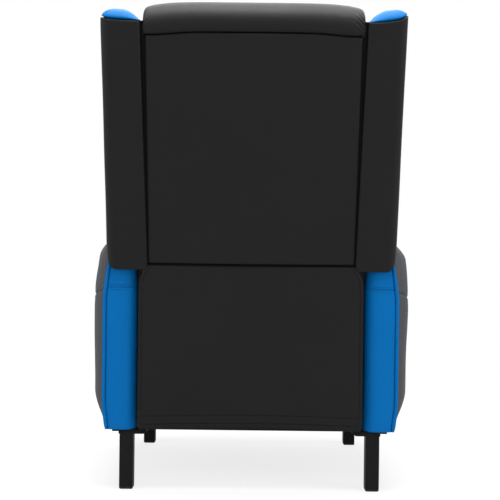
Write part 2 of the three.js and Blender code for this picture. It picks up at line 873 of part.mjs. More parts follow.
function footrestBracket() {
  const head = flat(0, 0)
  const foot = flat(0, -footSpread)
  const rear = -boardSetback + plateThickness
  const web = [
    flat(-boardSetback, foot.y - footLinkRadius), flat(0, foot.y - footLinkRadius),
    flat(0, footLinkRadius), flat(-boardSetback, footLinkRadius),
  ]
  let bracket = plate(bracketLayer, bar(head, foot, footLinkRadius), web)
  const outer = outerFace(bracketLayer)
  const flange = alongZ([
    flat(outer - footFlange, -boardSetback), flat(outer, -boardSetback),
    flat(outer, rear), flat(outer - footFlange, rear),
  ], foot.y - footLinkRadius, footSpread + 2 * footLinkRadius)
  bracket = join(bracket, flange)
  bracket = riveted(bracket, bracketLayer, crossLayer, head)
  return riveted(bracket, bracketLayer, extensionLayer, foot)
}

function footrestBoard() {
  const outline = roundedBox(flat(-boardHalf, boardTop - boardHeight), flat(boardHalf, boardTop), plateCorner)
  return alongY(outline, -boardSetback - touch, boardThickness)
}

function footrestPad() {
  const half = point(footPadHalf, footPadHeight / 2, footPadThickness / 2)
  const rear = boardSetback + boardThickness + 2 * touch
  const block = padded({
    half,
    centre: point(0, boardTop - half.y, rear + half.z),
    segments: { x: 16, y: 6, z: 3 },
    crown: footPadCrown,
    draw: footPadDraw,
  })
  const pad = flatBelow(block, rear + footPadCrown, rear)
  return facedOut(pad.applyMatrix4(new THREE.Matrix4().makeBasis(axisX, axisZ, axisY.clone().negate())))
}

function buildFootrest() {
  const main = new THREE.Group()
  main.position.set(0, footPivot.x, footPivot.y)
  const cross = new THREE.Group()
  cross.position.set(0, 0, -crossPoint)
  const extension = new THREE.Group()
  extension.position.set(0, 0, -mainLength)
  const rest = new THREE.Group()
  rest.position.set(0, 0, crossLength)
  seat.add(main)
  main.add(cross, extension)
  cross.add(rest)
  pair(main, 'main_link', mainLink(), 'zinc')
  pair(cross, 'cross_link', crossLink(), 'zinc')
  pair(extension, 'extension_link', extensionLink(), 'zinc')
  const tubeHalf = innerFace(mainLayer) - touch
  piece(main, 'footrest_cross_tube',
    rod(-tubeHalf, tubeHalf, flat(earReach, -earDrop), torqueTubeRadius, holeSides), 'steel')
  pair(rest, 'footrest_bracket', footrestBracket(), 'steel')
  piece(rest, 'footrest_board', footrestBoard(), 'wood')
  piece(rest, 'footrest_pad', footrestPad(), 'black')
}

// Backrest
const backPanelFront = backRear - backPanelThickness
const backFrameRear = backPanelFront - touch
const backFrameMiddle = backFrameRear - backTube / 2
const backCushionRear = backFrameRear - backTube - touch
const backCushionFront = backRear - backThickness
const backFrameOuter = innerFace(swingLayer) - touch
const coverHinge = flat(backRear - backPanelCrown - coverThickness / 2, backSeamHeight + coverThickness)

function backBracket() {
  const pivot = flat(0, 0)
  const lean = radians(swingLean + backLean)
  const drive = flat(swingLength * Math.sin(lean), -swingLength * Math.cos(lean))
  const knee = flat(backFrameMiddle, bracketKnee)
  const top = flat(backFrameMiddle, bracketTop)
  let bracket = plate(swingLayer, bar(pivot, drive, uprightRadius, linkRadius),
    bar(pivot, knee, uprightRadius, bracketWidthRadius), bar(knee, top, bracketWidthRadius))
  bracket = riveted(bracket, swingLayer, railLayer, pivot, backPinRadius, backPinHead)
  return riveted(bracket, swingLayer, seatLayer, drive)
}

// The frame is a hoop of tube with two cross rails
function backFrame() {
  const outer = [
    flat(backFrameOuter, backFrameFoot),
    ...arc(flat(backFrameOuter - backFrameRadius, backFrameTop - backFrameRadius), backFrameRadius,
      0, quarterTurn, cornerSteps),
    ...arc(flat(-backFrameOuter + backFrameRadius, backFrameTop - backFrameRadius), backFrameRadius,
      quarterTurn, Math.PI, cornerSteps),
    flat(-backFrameOuter, backFrameFoot),
    flat(-backFrameOuter + backTube, backFrameFoot),
    flat(-backFrameOuter + backTube, backSeamHeight),
    flat(backFrameOuter - backTube, backSeamHeight),
    flat(backFrameOuter - backTube, backFrameFoot),
  ]
  const low = backSeamHeight + backTube
  const high = backFrameTop - backTube
  const middle = (low + high) / 2
  const side = backFrameOuter - backTube
  const window = (from, to) => roundedBox(flat(-side, from), flat(side, to), backFrameRadius - backTube)
  return alongY(outer, backFrameRear, backTube,
    [window(low, middle - backTube / 2), window(middle + backTube / 2, high)])
}

function backRearPanel() {
  const foot = coverHinge.y + coverThickness / 2 + touch
  const half = point(backPanelHalf, (rollSeamHeight - foot) / 2, backPanelThickness / 2)
  const block = padded({
    half,
    centre: point(0, foot + half.y, -backPanelFront - half.z),
    segments: { x: 10, y: 12, z: 1 },
    crown: backPanelCrown,
    draw: 0,
  })
  const spots = block.attributes.position
  for (let at = 0; at < spots.count; at += 1) {
    if (spots.getZ(at) > -backPanelFront - half.z) spots.setZ(at, -backPanelFront)
  }
  return facedOut(block.applyMatrix4(new THREE.Matrix4().makeBasis(axisX, axisZ, axisY.clone().negate())))
}

// The cushion's side outline: a padded front in three puffs, and a roll over the top of the frame
const puffShares = [0.07, 0.36, 0.68, 0.93]
const puffSteps = 5
const puffRise = 9
const cushionFootRound = 16
const rollHalfDepth = backThickness / 2
const rollFullnessShare = 0.8
const cushionEndShares = [[1, 1], [0.975, 0.5], [0.92, 0.16], [0.8, 0], [0.4, 0], [0, 0]]
const cushionEndInset = 20

function backCushionOutline() {
  const rollRise = backTop - rollSeamHeight - touch
  const rollCentre = flat(backRear - rollHalfDepth, rollSeamHeight + touch)
  const front = []
  for (let puff = 0; puff + 1 < puffShares.length; puff += 1) {
    for (let step = 0; step < puffSteps; step += 1) {
      const rise = mix(puffShares[puff], puffShares[puff + 1], step / puffSteps)
      const swell = puffRise * Math.sin(Math.PI * step / puffSteps)
      front.push(flat(backCushionFront + puffRise - swell, mix(backCushionFoot, rollSeamHeight, rise)))
    }
  }
  const roll = arc(flat(0, 0), 1, Math.PI, 0, 2 * bigArcSteps).map((spot) =>
    flat(rollCentre.x + spot.x * rollHalfDepth, rollCentre.y + Math.abs(spot.y) ** rollFullnessShare * rollRise))
  return [
    flat(backCushionRear, backCushionFoot),
    flat(backCushionFront + cushionFootRound + puffRise, backCushionFoot),
    flat(backCushionFront + puffRise, backCushionFoot + cushionFootRound),
    ...front,
    ...roll,
    flat(backCushionRear, rollSeamHeight + touch),
  ]
}

function backCushion() {
  const outline = backCushionOutline()
  const middle = flat(backCushionRear, 0)
  const ring = (share, inset) => {
    const drawn = inset * cushionEndInset
    return outline.map((spot) => {
      const high = THREE.MathUtils.smoothstep(spot.y, rollSeamHeight - cushionEndInset, rollSeamHeight)
      const half = mix(backCushionHalf, backRollHalf, high)
      const back = spot.x > middle.x + touch
      const y = spot.x < middle.x - touch ? Math.min(spot.x + drawn, middle.x - touch) : spot.x - (back ? drawn : 0)
      const lift = THREE.MathUtils.smoothstep(spot.y, rollSeamHeight, backTop)
      return point(share * half, y, spot.y - lift * drawn)
    })
  }
  const right = cushionEndShares.map(([share, inset]) => ring(share, inset))
  const left = cushionEndShares.slice(0, -1).reverse().map(([share, inset]) => ring(-share, inset))
  return skin([...right, ...left])
}

// Wings: the plan of one wing at a height, as an outline of (x, y). The shares place the hollow
// inner face between the nose and the inner rear edge
const wingInsideShares = [[0.32, 0.62], [0.06, 0.3]]
const wingCrownShares = [[0, 0], [0.02, 0.45], [0.14, 0.78], [0.4, 0.95], [0.75, 1]]

function wingPlan(height) {
  const rise = (height - wingFoot) / (wingTop - wingFoot)
  const inner = mix(wingInnerLow, wingInnerHigh, rise)
  const outer = mix(wingOuterLow, wingOuterHigh, rise)
  const side = outer - wingSideTaper / 2
  const cornerCentre = flat(side - wingCorner, backRear - wingCorner)
  const skinEnd = flat(outer, backRear - wingSkinAhead)
  const noseCentre = flat(outer - wingNose, backRear - wingNoseAhead)
  return {
    rearOuter: [flat(inner, backRear), ...arc(cornerCentre, wingCorner, quarterTurn, 0, cornerSteps), skinEnd],
    rearInner: [
      flat(inner, backRear - wingSkin),
      ...arc(cornerCentre, wingCorner - wingSkin, quarterTurn, 0, cornerSteps),
      flat(skinEnd.x - wingSkin, skinEnd.y),
    ],
    nose: arc(noseCentre, wingNose, 0, -3 * quarterTurn / 2, bigArcSteps),
    inside: wingInsideShares.map(([across, ahead]) =>
      flat(mix(inner, outer - wingNose, across), backRear - wingNoseAhead * ahead)),
  }
}

function atHeight(outline, height) {
  return outline.map((spot) => point(spot.x, spot.y, height))
}

// The top of a wing slopes down towards the back's middle
function onTop(outline, rise) {
  return outline.map((spot) => {
    const across = (wingOuterHigh - spot.x) / (wingOuterHigh - wingInnerHigh)
    return point(spot.x, spot.y, wingTop + rise - wingTopFall * across)
  })
}

// The hollow that the arm's rounded shoulder needs under the wing
function armShoulder() {
  const lean = radians(backLean)
  const offset = flat(-armRearRadius - backPivotY, armTop - armRearRadius - backPivotHeight)
  const centre = flat(
    offset.x * Math.cos(lean) - offset.y * Math.sin(lean),
    offset.y * Math.cos(lean) + offset.x * Math.sin(lean))
  return rod(wingInnerLow - overrun, wingOuterHigh + overrun, centre, armRearRadius + wingArmClearance, 12 * cornerSteps)
}

// The cover's inner edge folds in towards the back, and closes the groove beside the panel and the roll
function groove(from, to, reach) {
  const front = backRear - wingSkin
  const ring = (height) => {
    const edge = wingPlan(height).rearOuter[0].x + wingFold
    const rear = front + wingFold
    return atHeight([flat(reach, rear), flat(edge, rear), flat(edge, front), flat(reach, front)], height)
  }
  return skin([ring(from), ring(to)])
}

function wingCover() {
  const outline = (height) => {
    const plan = wingPlan(height)
    return [...plan.rearOuter, ...plan.rearInner.reverse()]
  }
  const body = skin([atHeight(outline(wingFoot), wingFoot), onTop(outline(wingTop), -touch)])
  const beside = groove(wingFoot, rollSeamHeight - wingFold, backPanelHalf + touch)
  const above = groove(backFrameTop, wingTop - wingTopFall - wingFold, backRollHalf + wingRollGap)
  return cut(join(body, beside, above), armShoulder())
}

function wingPad() {
  const lens = (height) => {
    const plan = wingPlan(height)
    const shift = (spot) => flat(spot.x, spot.y - touch)
    const seam = plan.rearInner.map((spot, at) => (at === 0 ? shift(spot) : flat(spot.x - touch, spot.y - touch)))
    const end = plan.rearOuter.at(-1)
    return [...seam, flat(end.x, end.y - touch), ...plan.nose, ...plan.inside]
  }
  const plan = wingPlan(wingTop)
  const whole = [...plan.rearOuter, ...plan.nose, ...plan.inside]
  const middle = whole.reduce((sum, spot) => sum.add(spot), flat(0, 0)).divideScalar(whole.length)
  const crown = wingCrownShares.map(([inset, rise]) => onTop(whole.map((spot) => {
    const inward = middle.clone().sub(spot).normalize().multiplyScalar(inset * wingCrownReach)
    return spot.clone().add(inward)
  }), rise * wingCrown))
  const body = skin([atHeight(lens(wingFoot), wingFoot), onTop(lens(wingTop), wingCrown / 4)])
  return cut(join(body, skin(crown)), armShoulder())
}

function buildBack() {
  pair(back, 'back_bracket', backBracket(), 'zinc')
  piece(back, 'back_frame', backFrame(), 'steel')
  piece(back, 'back_cushion', backCushion(), 'black')
  piece(back, 'back_rear_panel', backRearPanel(), 'black')
  pair(back, 'wing_cover', wingCover(), 'black')
  pair(back, 'wing_pad', wingPad(), 'blue')
}

// The lower cover hangs straight down from its seam, whatever the lean of the back
function buildLowerCover() {
  const cover = new THREE.Group()
  cover.position.set(0, coverHinge.x, coverHinge.y)
  cover.rotation.x = radians(backLean)
  back.add(cover)
  const lean = radians(backLean)
  const hingeHeight = backPivotHeight + coverHinge.y * Math.cos(lean) - coverHinge.x * Math.sin(lean)
  const foot = coverFoot - hingeHeight
  const rim = coverThickness / 2
  const top = coverHalf - coverShoulder
  const outline = [
    flat(-top, 0), flat(-coverHalf + coverTopCut, -coverShoulder / 2), flat(-coverHalf, -2 * coverShoulder),
    ...arc(flat(-coverHalf + coverFootRadius, foot + coverFootRadius), coverFootRadius,
      Math.PI, 3 * quarterTurn, cornerSteps),
    ...arc(flat(coverHalf - coverFootRadius, foot + coverFootRadius), coverFootRadius,
      -quarterTurn, 0, cornerSteps),
    flat(coverHalf, -2 * coverShoulder), flat(coverHalf - coverTopCut, -coverShoulder / 2), flat(top, 0),
  ]
  const hem = acrossX(roundedBox(flat(-rim - touch, foot), flat(rim + touch, foot + coverHem), rim / 2),
    -coverHalf + coverFootRadius, 2 * (coverHalf - coverFootRadius))
  const bead = rod(-top, top, flat(0, 0), rim)
  piece(cover, 'lower_back_cover', join(alongY(outline, rim, coverThickness), bead, hem), 'cloth')
}

buildLegs()
buildRails()
buildCrossTubes()
buildArms()
buildSwingLinks()
buildSeat()
buildFootrest()
buildBack()
buildLowerCover()

chair.updateMatrixWorld(true)
const bounds = new THREE.Box3().setFromObject(chair, true)
chair.position.y = -(bounds.min.y + bounds.max.y) / 2

export default chair
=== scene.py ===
"""A push-back gaming recliner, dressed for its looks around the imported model.

Lengths are in metres, in the model's own frame: x towards the sitter's left, y towards the rear,
z up from the floor. What leans with the back is drawn upright first, in the back's own frame, with
its pivot as the origin.
"""

from __future__ import annotations

import json
import logging
import math
from dataclasses import dataclass, field
from enum import Enum
from functools import cache
from typing import Callable, Sequence

import bmesh
import bpy
from mathutils import Matrix, Vector, noise

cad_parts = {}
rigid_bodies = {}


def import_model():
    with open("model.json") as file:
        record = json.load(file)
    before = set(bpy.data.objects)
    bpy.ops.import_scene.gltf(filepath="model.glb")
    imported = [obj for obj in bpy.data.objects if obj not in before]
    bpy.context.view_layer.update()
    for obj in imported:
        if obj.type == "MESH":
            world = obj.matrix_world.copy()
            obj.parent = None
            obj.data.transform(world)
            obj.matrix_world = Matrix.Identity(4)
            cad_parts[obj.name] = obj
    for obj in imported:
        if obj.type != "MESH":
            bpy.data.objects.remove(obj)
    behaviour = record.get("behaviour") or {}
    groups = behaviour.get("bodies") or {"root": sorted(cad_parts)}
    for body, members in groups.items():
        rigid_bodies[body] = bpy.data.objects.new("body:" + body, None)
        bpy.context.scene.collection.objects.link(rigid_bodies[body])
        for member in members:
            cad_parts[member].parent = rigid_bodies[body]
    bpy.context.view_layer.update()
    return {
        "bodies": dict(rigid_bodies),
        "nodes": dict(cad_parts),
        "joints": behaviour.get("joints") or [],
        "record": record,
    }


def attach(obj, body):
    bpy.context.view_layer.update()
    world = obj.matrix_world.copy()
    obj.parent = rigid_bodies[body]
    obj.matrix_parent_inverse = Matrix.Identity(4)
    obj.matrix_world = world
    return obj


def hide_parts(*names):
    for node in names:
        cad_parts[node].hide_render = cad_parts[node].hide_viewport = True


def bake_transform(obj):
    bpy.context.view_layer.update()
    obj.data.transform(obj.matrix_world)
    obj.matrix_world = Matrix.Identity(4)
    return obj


Table = Sequence[tuple[float, float]]
Flat = tuple[float, float]
Colour = tuple[float, float, float]
Socket = bpy.types.NodeSocket
Sockets = bpy.types.bpy_prop_collection
LOG = logging.getLogger("recliner")


class Side(Enum):
    """The two sides of the chair, as the sign of x and the ending of a piece's name."""

    LEFT = (1.0, "left")
    RIGHT = (-1.0, "right")

    @property
    def sign(self) -> float:
        """The sign of x on this side."""
        return self.value[0]

    @property
    def word(self) -> str:
        """The ending of a piece's name on this side."""
        return self.value[1]

    def at(self, out: float, y: float, z: float) -> Vector:
        """Returns the place at a distance out from the middle on this side."""
        return Vector((self.sign * out, y, z))


@dataclass(frozen=True)
class SideShape:
    """What differs between the chair's two sides, as the photograph shows them."""

    bulge: float  # how far the arm side swells past its full width
    slack: float  # how far it falls in above the bulge
    wing_top: float  # the cover's top, along the lean
    wing_fall: float  # how far that top falls towards the middle
    wing_crown: float  # how far the blue pad rises over it
    roll_corner: float  # how far the roll's corner is drawn in
    gather: float  # how deep the gathers beside it are


SHAPES = {
    Side.LEFT: SideShape(0.0025, 0.0052, 0.6526, 0.0058, 0.0192, 0.005, 0.0016),
    Side.RIGHT: SideShape(0.0048, -0.0012, 0.6612, 0.0145, 0.0205, 0.013, 0.0042),
}


# Small sums


def mix(low: float, high: float, share: float) -> float:
    """Returns the value at a share of the way from low to high."""
    return low + (high - low) * share


def ease(value: float, low: float, high: float) -> float:
    """Returns 0 before low, 1 after high, and a smooth rise between them."""
    share = min(max((value - low) / (high - low), 0.0), 1.0)
    return share * share * (3 - 2 * share)


def hump(value: float, centre: float, width: float) -> float:
    """Returns a bell of height 1 around a centre."""
    return math.exp(-(((value - centre) / width) ** 2))


def shares(count: int) -> list[float]:
    """Returns even shares from 0 to 1, both included."""
    return [k / count for k in range(count + 1)]


def ray(angle: float) -> Vector:
    """Returns the flat direction at an angle."""
    return Vector((math.cos(angle), math.sin(angle)))


def waver(depth: float, *spot: float) -> float:
    """Returns a soft random height at a place, up to about a depth either way, the same in each run."""
    return depth * noise.noise(Vector(spot))


def read(table: Table, value: float) -> float:
    """Reads a smooth curve that runs through a table's points and never overshoots them.

    Args:
        table: Points as (place, height), in order of place.
        value: The place to read.

    Returns:
        The curve's height there.
    """
    if value <= table[0][0]:
        return table[0][1]
    if value >= table[-1][0]:
        return table[-1][1]
    at = next(k for k in range(len(table) - 1) if value <= table[k + 1][0])

    def slope(k: int) -> float:
        """The slope between a point and the next."""
        return (table[k + 1][1] - table[k][1]) / (table[k + 1][0] - table[k][0])

    def tangent(k: int) -> float:
        """The curve's slope at a point, level where the table turns."""
        if k in (0, len(table) - 1):
            return slope(min(k, len(table) - 2))
        before, after = slope(k - 1), slope(k)
        return 0.0 if before * after <= 0 else 2 * before * after / (before + after)

    width = table[at + 1][0] - table[at][0]
    share = (value - table[at][0]) / width
    square, cube = share**2, share**3
    return (
        (2 * cube - 3 * square + 1) * table[at][1]
        + (cube - 2 * square + share) * width * tangent(at)
        + (3 * square - 2 * cube) * table[at + 1][1]
        + (cube - square) * width * tangent(at + 1)
    )


def spread(
    low: float, high: float, count: int, ends: Sequence[float] = (), seams: Sequence[float] = ()
) -> list[float]:
    """Spaces places evenly, with more of them close to both ends and around seams.

    Args:
        low: The first place.
        high: The last place.
        count: How many even steps there are.
        ends: Distances from both ends that get a place of their own.
        seams: Places that get a close row of places around them.

    Returns:
        The places in order.
    """
    around = (-0.006, -0.0036, -0.0018, -0.0006, 0.0, 0.0006, 0.0018, 0.0036, 0.006)
    places = {round(mix(low, high, k / count), 5) for k in range(count + 1)}
    places |= {round(low + end, 5) for end in ends} | {round(high - end, 5) for end in ends}
    exact = sorted(p for p in places if low <= p <= high)
    for seam in seams:
        exact = [p for p in exact if abs(p - seam) > around[-1] * 1.3 or p in (low, high)]
        exact += [seam + step for step in around if low < seam + step < high]
    return sorted(exact)


def rounded_fall(distance: float, radius: float) -> float:
    """Returns how far a rounded edge has dropped at a distance in from the edge."""
    inside = max(radius - max(distance, 0.0), 0.0)
    return radius - math.sqrt(max(radius * radius - inside * inside, 0.0))


def even_points(
    points: Sequence[Vector], count: int, closed: bool, weight: Callable[[Vector], float] | None = None
) -> list[Flat]:
    """Spaces points evenly along a polyline, or closer together where a weight asks for it.

    Args:
        points: The polyline.
        count: How many points come back.
        closed: Whether the last point joins the first.
        weight: Gives how many times closer the points lie at a place.

    Returns:
        The spaced points.
    """
    line = list(points) + ([points[0]] if closed else [])
    lengths = [0.0]
    for a, b in zip(line, line[1:]):
        lengths.append(lengths[-1] + (b - a).length * (weight((a + b) / 2) if weight else 1.0))
    result = []
    for k in range(count):
        target = lengths[-1] * k / (count if closed else count - 1)
        at = next((i for i in range(len(line) - 1) if lengths[i + 1] >= target), len(line) - 2)
        step = lengths[at + 1] - lengths[at]
        share = (target - lengths[at]) / step if step else 0.0
        spot = line[at].lerp(line[at + 1], share)
        result.append((spot.x, spot.y))
    return result


class Workshop:
    """The ways in which pieces are modelled: a primitive, its cuts, and the move to its place."""

    stitch_share = 0.36
    stitch_half: Flat = (0.00048, 0.00042)
    stitch_proud = 0.0002

    @staticmethod
    def clear() -> None:
        """Leaves edit mode and deselects everything."""
        if bpy.context.mode != "OBJECT":
            bpy.ops.object.mode_set(mode="OBJECT")
        bpy.ops.object.select_all(action="DESELECT")

    @staticmethod
    def take(piece: bpy.types.Object) -> None:
        """Makes one piece the only one selected, and the active one."""
        Workshop.clear()
        piece.select_set(True)
        bpy.context.view_layer.objects.active = piece

    @staticmethod
    def cut_along(axis: int, cuts: int) -> None:
        """Divides all edges that run along one axis of the piece in edit mode.

        Args:
            axis: 0, 1 or 2 for x, y or z.
            cuts: How many cuts each edge gets.
        """
        if cuts < 1:
            return
        bpy.ops.mesh.select_mode(type="EDGE")
        bpy.ops.mesh.select_all(action="DESELECT")
        mesh = bmesh.from_edit_mesh(bpy.context.object.data)
        for edge in mesh.edges:
            span = edge.verts[1].co - edge.verts[0].co
            edge.select = span.length > 0 and abs(span[axis]) > 0.99 * span.length
        bmesh.update_edit_mesh(bpy.context.object.data)
        bpy.ops.mesh.subdivide(number_cuts=cuts)

    @staticmethod
    def square_up(piece: bpy.types.Object) -> None:
        """Turns all faces of a closed piece outwards.

        Args:
            piece: The piece.
        """
        Workshop.take(piece)
        bpy.ops.object.mode_set(mode="EDIT")
        bpy.ops.mesh.select_all(action="SELECT")
        bpy.ops.mesh.normals_make_consistent(inside=False)
        bpy.ops.object.mode_set(mode="OBJECT")

    @staticmethod
    def loft(name: str, sides: int, stations: int, place: Callable[[int, int], Vector]) -> bpy.types.Object:
        """Models a closed shell from a cylinder: rings of points that are closed at both ends.

        Args:
            name: The piece's name.
            sides: How many points a ring has, a multiple of four.
            stations: How many rings there are.
            place: Gives the place of a ring's point from its number and the ring's number.

        Returns:
            The new piece.
        """
        Workshop.clear()
        bpy.ops.mesh.primitive_cylinder_add(vertices=sides, radius=1, depth=1, end_fill_type="TRIFAN")
        piece = bpy.context.object
        piece.name = piece.data.name = name
        bpy.ops.object.mode_set(mode="EDIT")
        Workshop.cut_along(2, stations - 2)
        bpy.ops.object.mode_set(mode="OBJECT")
        ends: dict[int, Vector] = {}
        for ring in (0, stations - 1):
            ends[ring] = sum((place(k, ring) for k in range(sides)), Vector()) / sides
        for vertex in piece.data.vertices:
            ring = round((vertex.co.z + 0.5) * (stations - 1))
            if math.hypot(vertex.co.x, vertex.co.y) < 0.5:
                vertex.co = ends[ring]
                continue
            turn = math.atan2(vertex.co.y, vertex.co.x) / math.tau
            vertex.co = place(round(turn * sides) % sides, ring)
        Workshop.square_up(piece)
        return piece

    @staticmethod
    def block(
        name: str, x: Sequence[float], y: Sequence[float], z: Sequence[float], place: Callable[[Vector], Vector]
    ) -> bpy.types.Object:
        """Models a closed pad from a cube that is cut at chosen places along its three axes.

        Args:
            name: The piece's name.
            x: The cuts across, the two outer faces included.
            y: The cuts from front to rear, the two outer faces included.
            z: The cuts upwards, the two outer faces included.
            place: Moves a point of the cut block to its place on the chair.

        Returns:
            The new piece.
        """
        Workshop.clear()
        bpy.ops.mesh.primitive_cube_add(size=1)
        piece = bpy.context.object
        piece.name = piece.data.name = name
        bpy.ops.object.mode_set(mode="EDIT")
        for axis, cuts in enumerate((x, y, z)):
            Workshop.cut_along(axis, len(cuts) - 2)
        bpy.ops.object.mode_set(mode="OBJECT")
        for vertex in piece.data.vertices:
            spot = [cuts[round((vertex.co[axis] + 0.5) * (len(cuts) - 1))] for axis, cuts in enumerate((x, y, z))]
            vertex.co = place(Vector(spot))
        Workshop.square_up(piece)
        return piece

    @staticmethod
    def tube(
        name: str, path: Sequence[Vector], radius: float, sides: int = 8, ends: float = 1.0
    ) -> bpy.types.Object:
        """Models a round bar along a path.

        Args:
            name: The piece's name.
            path: The bar's middle line.
            radius: The bar's radius.
            sides: How many sides it has.
            ends: The radius of both ends, as a share of the radius.

        Returns:
            The new piece.
        """
        frames: list[tuple[Vector, Vector]] = []
        side = Vector((1, 0, 0))
        for k, _ in enumerate(path):
            ahead = (path[min(k + 1, len(path) - 1)] - path[max(k - 1, 0)]).normalized()
            across = side - ahead * side.dot(ahead)
            if across.length < 0.2:
                across = Vector((0, 1, 0)) - ahead * ahead.y
            side = across.normalized()
            frames.append((side, ahead.cross(side)))

        def place(k: int, ring: int) -> Vector:
            """Places a point of one ring round the bar's middle line."""
            turn = ray(math.tau * k / sides)
            size = radius * (ends if ring in (0, len(path) - 1) else 1.0)
            right, up = frames[ring]
            return path[ring] + (right * turn.x + up * turn.y) * size

        return Workshop.loft(name, sides, len(path), place)

    @staticmethod
    def stitches(
        name: str, path: Sequence[Vector], outward: Callable[[Vector], Vector], pitch: float = 0.0062
    ) -> bpy.types.Object:
        """Models one stitch, and sews copies of it along a path.

        Args:
            name: The piece's name.
            path: The line of the seam, on the fabric's surface.
            outward: Gives the direction away from the fabric at a point.
            pitch: The distance from one stitch to the next.

        Returns:
            The row of stitches, as one piece.
        """
        Workshop.clear()
        bpy.ops.mesh.primitive_ico_sphere_add(subdivisions=1, radius=1)
        one = bpy.context.object
        sewn = bmesh.new()
        line = [Vector(spot) for spot in path]
        lengths = [0.0]
        for a, b in zip(line, line[1:]):
            lengths.append(lengths[-1] + (b - a).length)
        at = 0
        for k in range(int(lengths[-1] / pitch)):
            target = (k + 0.5) * pitch
            while lengths[at + 1] < target:
                at += 1
            share = (target - lengths[at]) / (lengths[at + 1] - lengths[at])
            spot = line[at].lerp(line[at + 1], share)
            ahead = (line[at + 1] - line[at]).normalized()
            up = outward(spot)
            up = (up - ahead * up.dot(ahead)).normalized()
            turned = Matrix((ahead, up.cross(ahead), up)).transposed().to_4x4()
            sized = Matrix.Diagonal((pitch * Workshop.stitch_share, *Workshop.stitch_half, 1))
            first = len(sewn.verts)
            sewn.from_mesh(one.data)
            sewn.verts.ensure_lookup_table()
            for vertex in sewn.verts[first:]:
                vertex.co = turned @ (sized @ vertex.co) + spot + up * Workshop.stitch_proud
        sewn.to_mesh(one.data)
        sewn.free()
        one.name = one.data.name = name
        return one

    @staticmethod
    def applied(piece: bpy.types.Object, kind: str, **values: object) -> None:
        """Adds a modifier with its values and applies it.

        Args:
            piece: The piece that it changes.
            kind: The modifier's type.
            values: Its settings, by name.
        """
        Workshop.take(piece)
        modifier = piece.modifiers.new(kind.title(), kind)
        for name, value in values.items():
            setattr(modifier, name, value)
        bpy.ops.object.modifier_apply(modifier=modifier.name)

    @staticmethod
    def refined(piece: bpy.types.Object) -> None:
        """Subdivides a piece's surface once."""
        Workshop.applied(piece, "SUBSURF", levels=1, render_levels=1)

    @staticmethod
    def evened(piece: bpy.types.Object, moves: list[Vector], rounds: int) -> list[Vector]:
        """Evens out how far the points of a piece move.

        Args:
            piece: The piece whose edges join the points.
            moves: The move of each point.
            rounds: How often each move is mixed with its neighbours' mean.

        Returns:
            The calmer moves.
        """
        joined: list[list[int]] = [[] for _ in moves]
        for edge in piece.data.edges:
            one, other = edge.vertices
            joined[one].append(other)
            joined[other].append(one)
        for _ in range(rounds):
            moves = [
                (move + sum((moves[k] for k in near), Vector()) / max(len(near), 1)) / 2
                for move, near in zip(moves, joined)
            ]
        return moves

    @staticmethod
    def inflated(
        piece: bpy.types.Object, voxel: float, cap: float, tacked: float, pressure: float = 3.0, frames: int = 20
    ) -> None:
        """Blows a pad up as cloth, with its underside tacked down and a limit on how far it may swell.

        Args:
            piece: The closed pad, a little smaller than it ends.
            voxel: The size of the cloth's faces.
            cap: The furthest that a point may move.
            tacked: The height below which the cloth is tacked to its board.
            pressure: The pressure inside.
            frames: How many frames the cloth gets to settle.
        """
        Workshop.applied(piece, "REMESH", mode="VOXEL", voxel_size=voxel)
        start = [vertex.co.copy() for vertex in piece.data.vertices]
        tacks = piece.vertex_groups.new(name="tacked")
        tacks.add([k for k, spot in enumerate(start) if spot.z < tacked], 1.0, "REPLACE")
        modifier = piece.modifiers.new("Cloth", "CLOTH")
        cloth = modifier.settings
        cloth.quality = 5
        cloth.mass = 0.35
        cloth.tension_stiffness = cloth.compression_stiffness = 12
        cloth.bending_stiffness = 4
        cloth.vertex_group_mass = tacks.name
        cloth.use_pressure = True
        cloth.uniform_pressure_force = pressure
        cloth.effector_weights.gravity = 0
        scene = bpy.context.scene
        for frame in range(1, frames + 1):
            scene.frame_set(frame)
        graph = bpy.context.evaluated_depsgraph_get()
        swollen = [vertex.co.copy() for vertex in piece.evaluated_get(graph).data.vertices]
        piece.modifiers.remove(modifier)
        piece.vertex_groups.remove(tacks)
        moves = Workshop.evened(piece, [after - before for before, after in zip(start, swollen)], 3)
        for vertex, before, move in zip(piece.data.vertices, start, moves):
            vertex.co = before + (move.normalized() * cap if move.length > cap else move)
        scene.frame_set(1)


# Finishes


def linear(colour: Colour) -> tuple[float, ...]:
    """Turns a colour of 0 to 255 a channel into the linear values, with alpha, that materials take."""
    shares = [value / 255 for value in colour]
    return (*(s / 12.92 if s <= 0.04045 else ((s + 0.055) / 1.055) ** 2.4 for s in shares), 1.0)


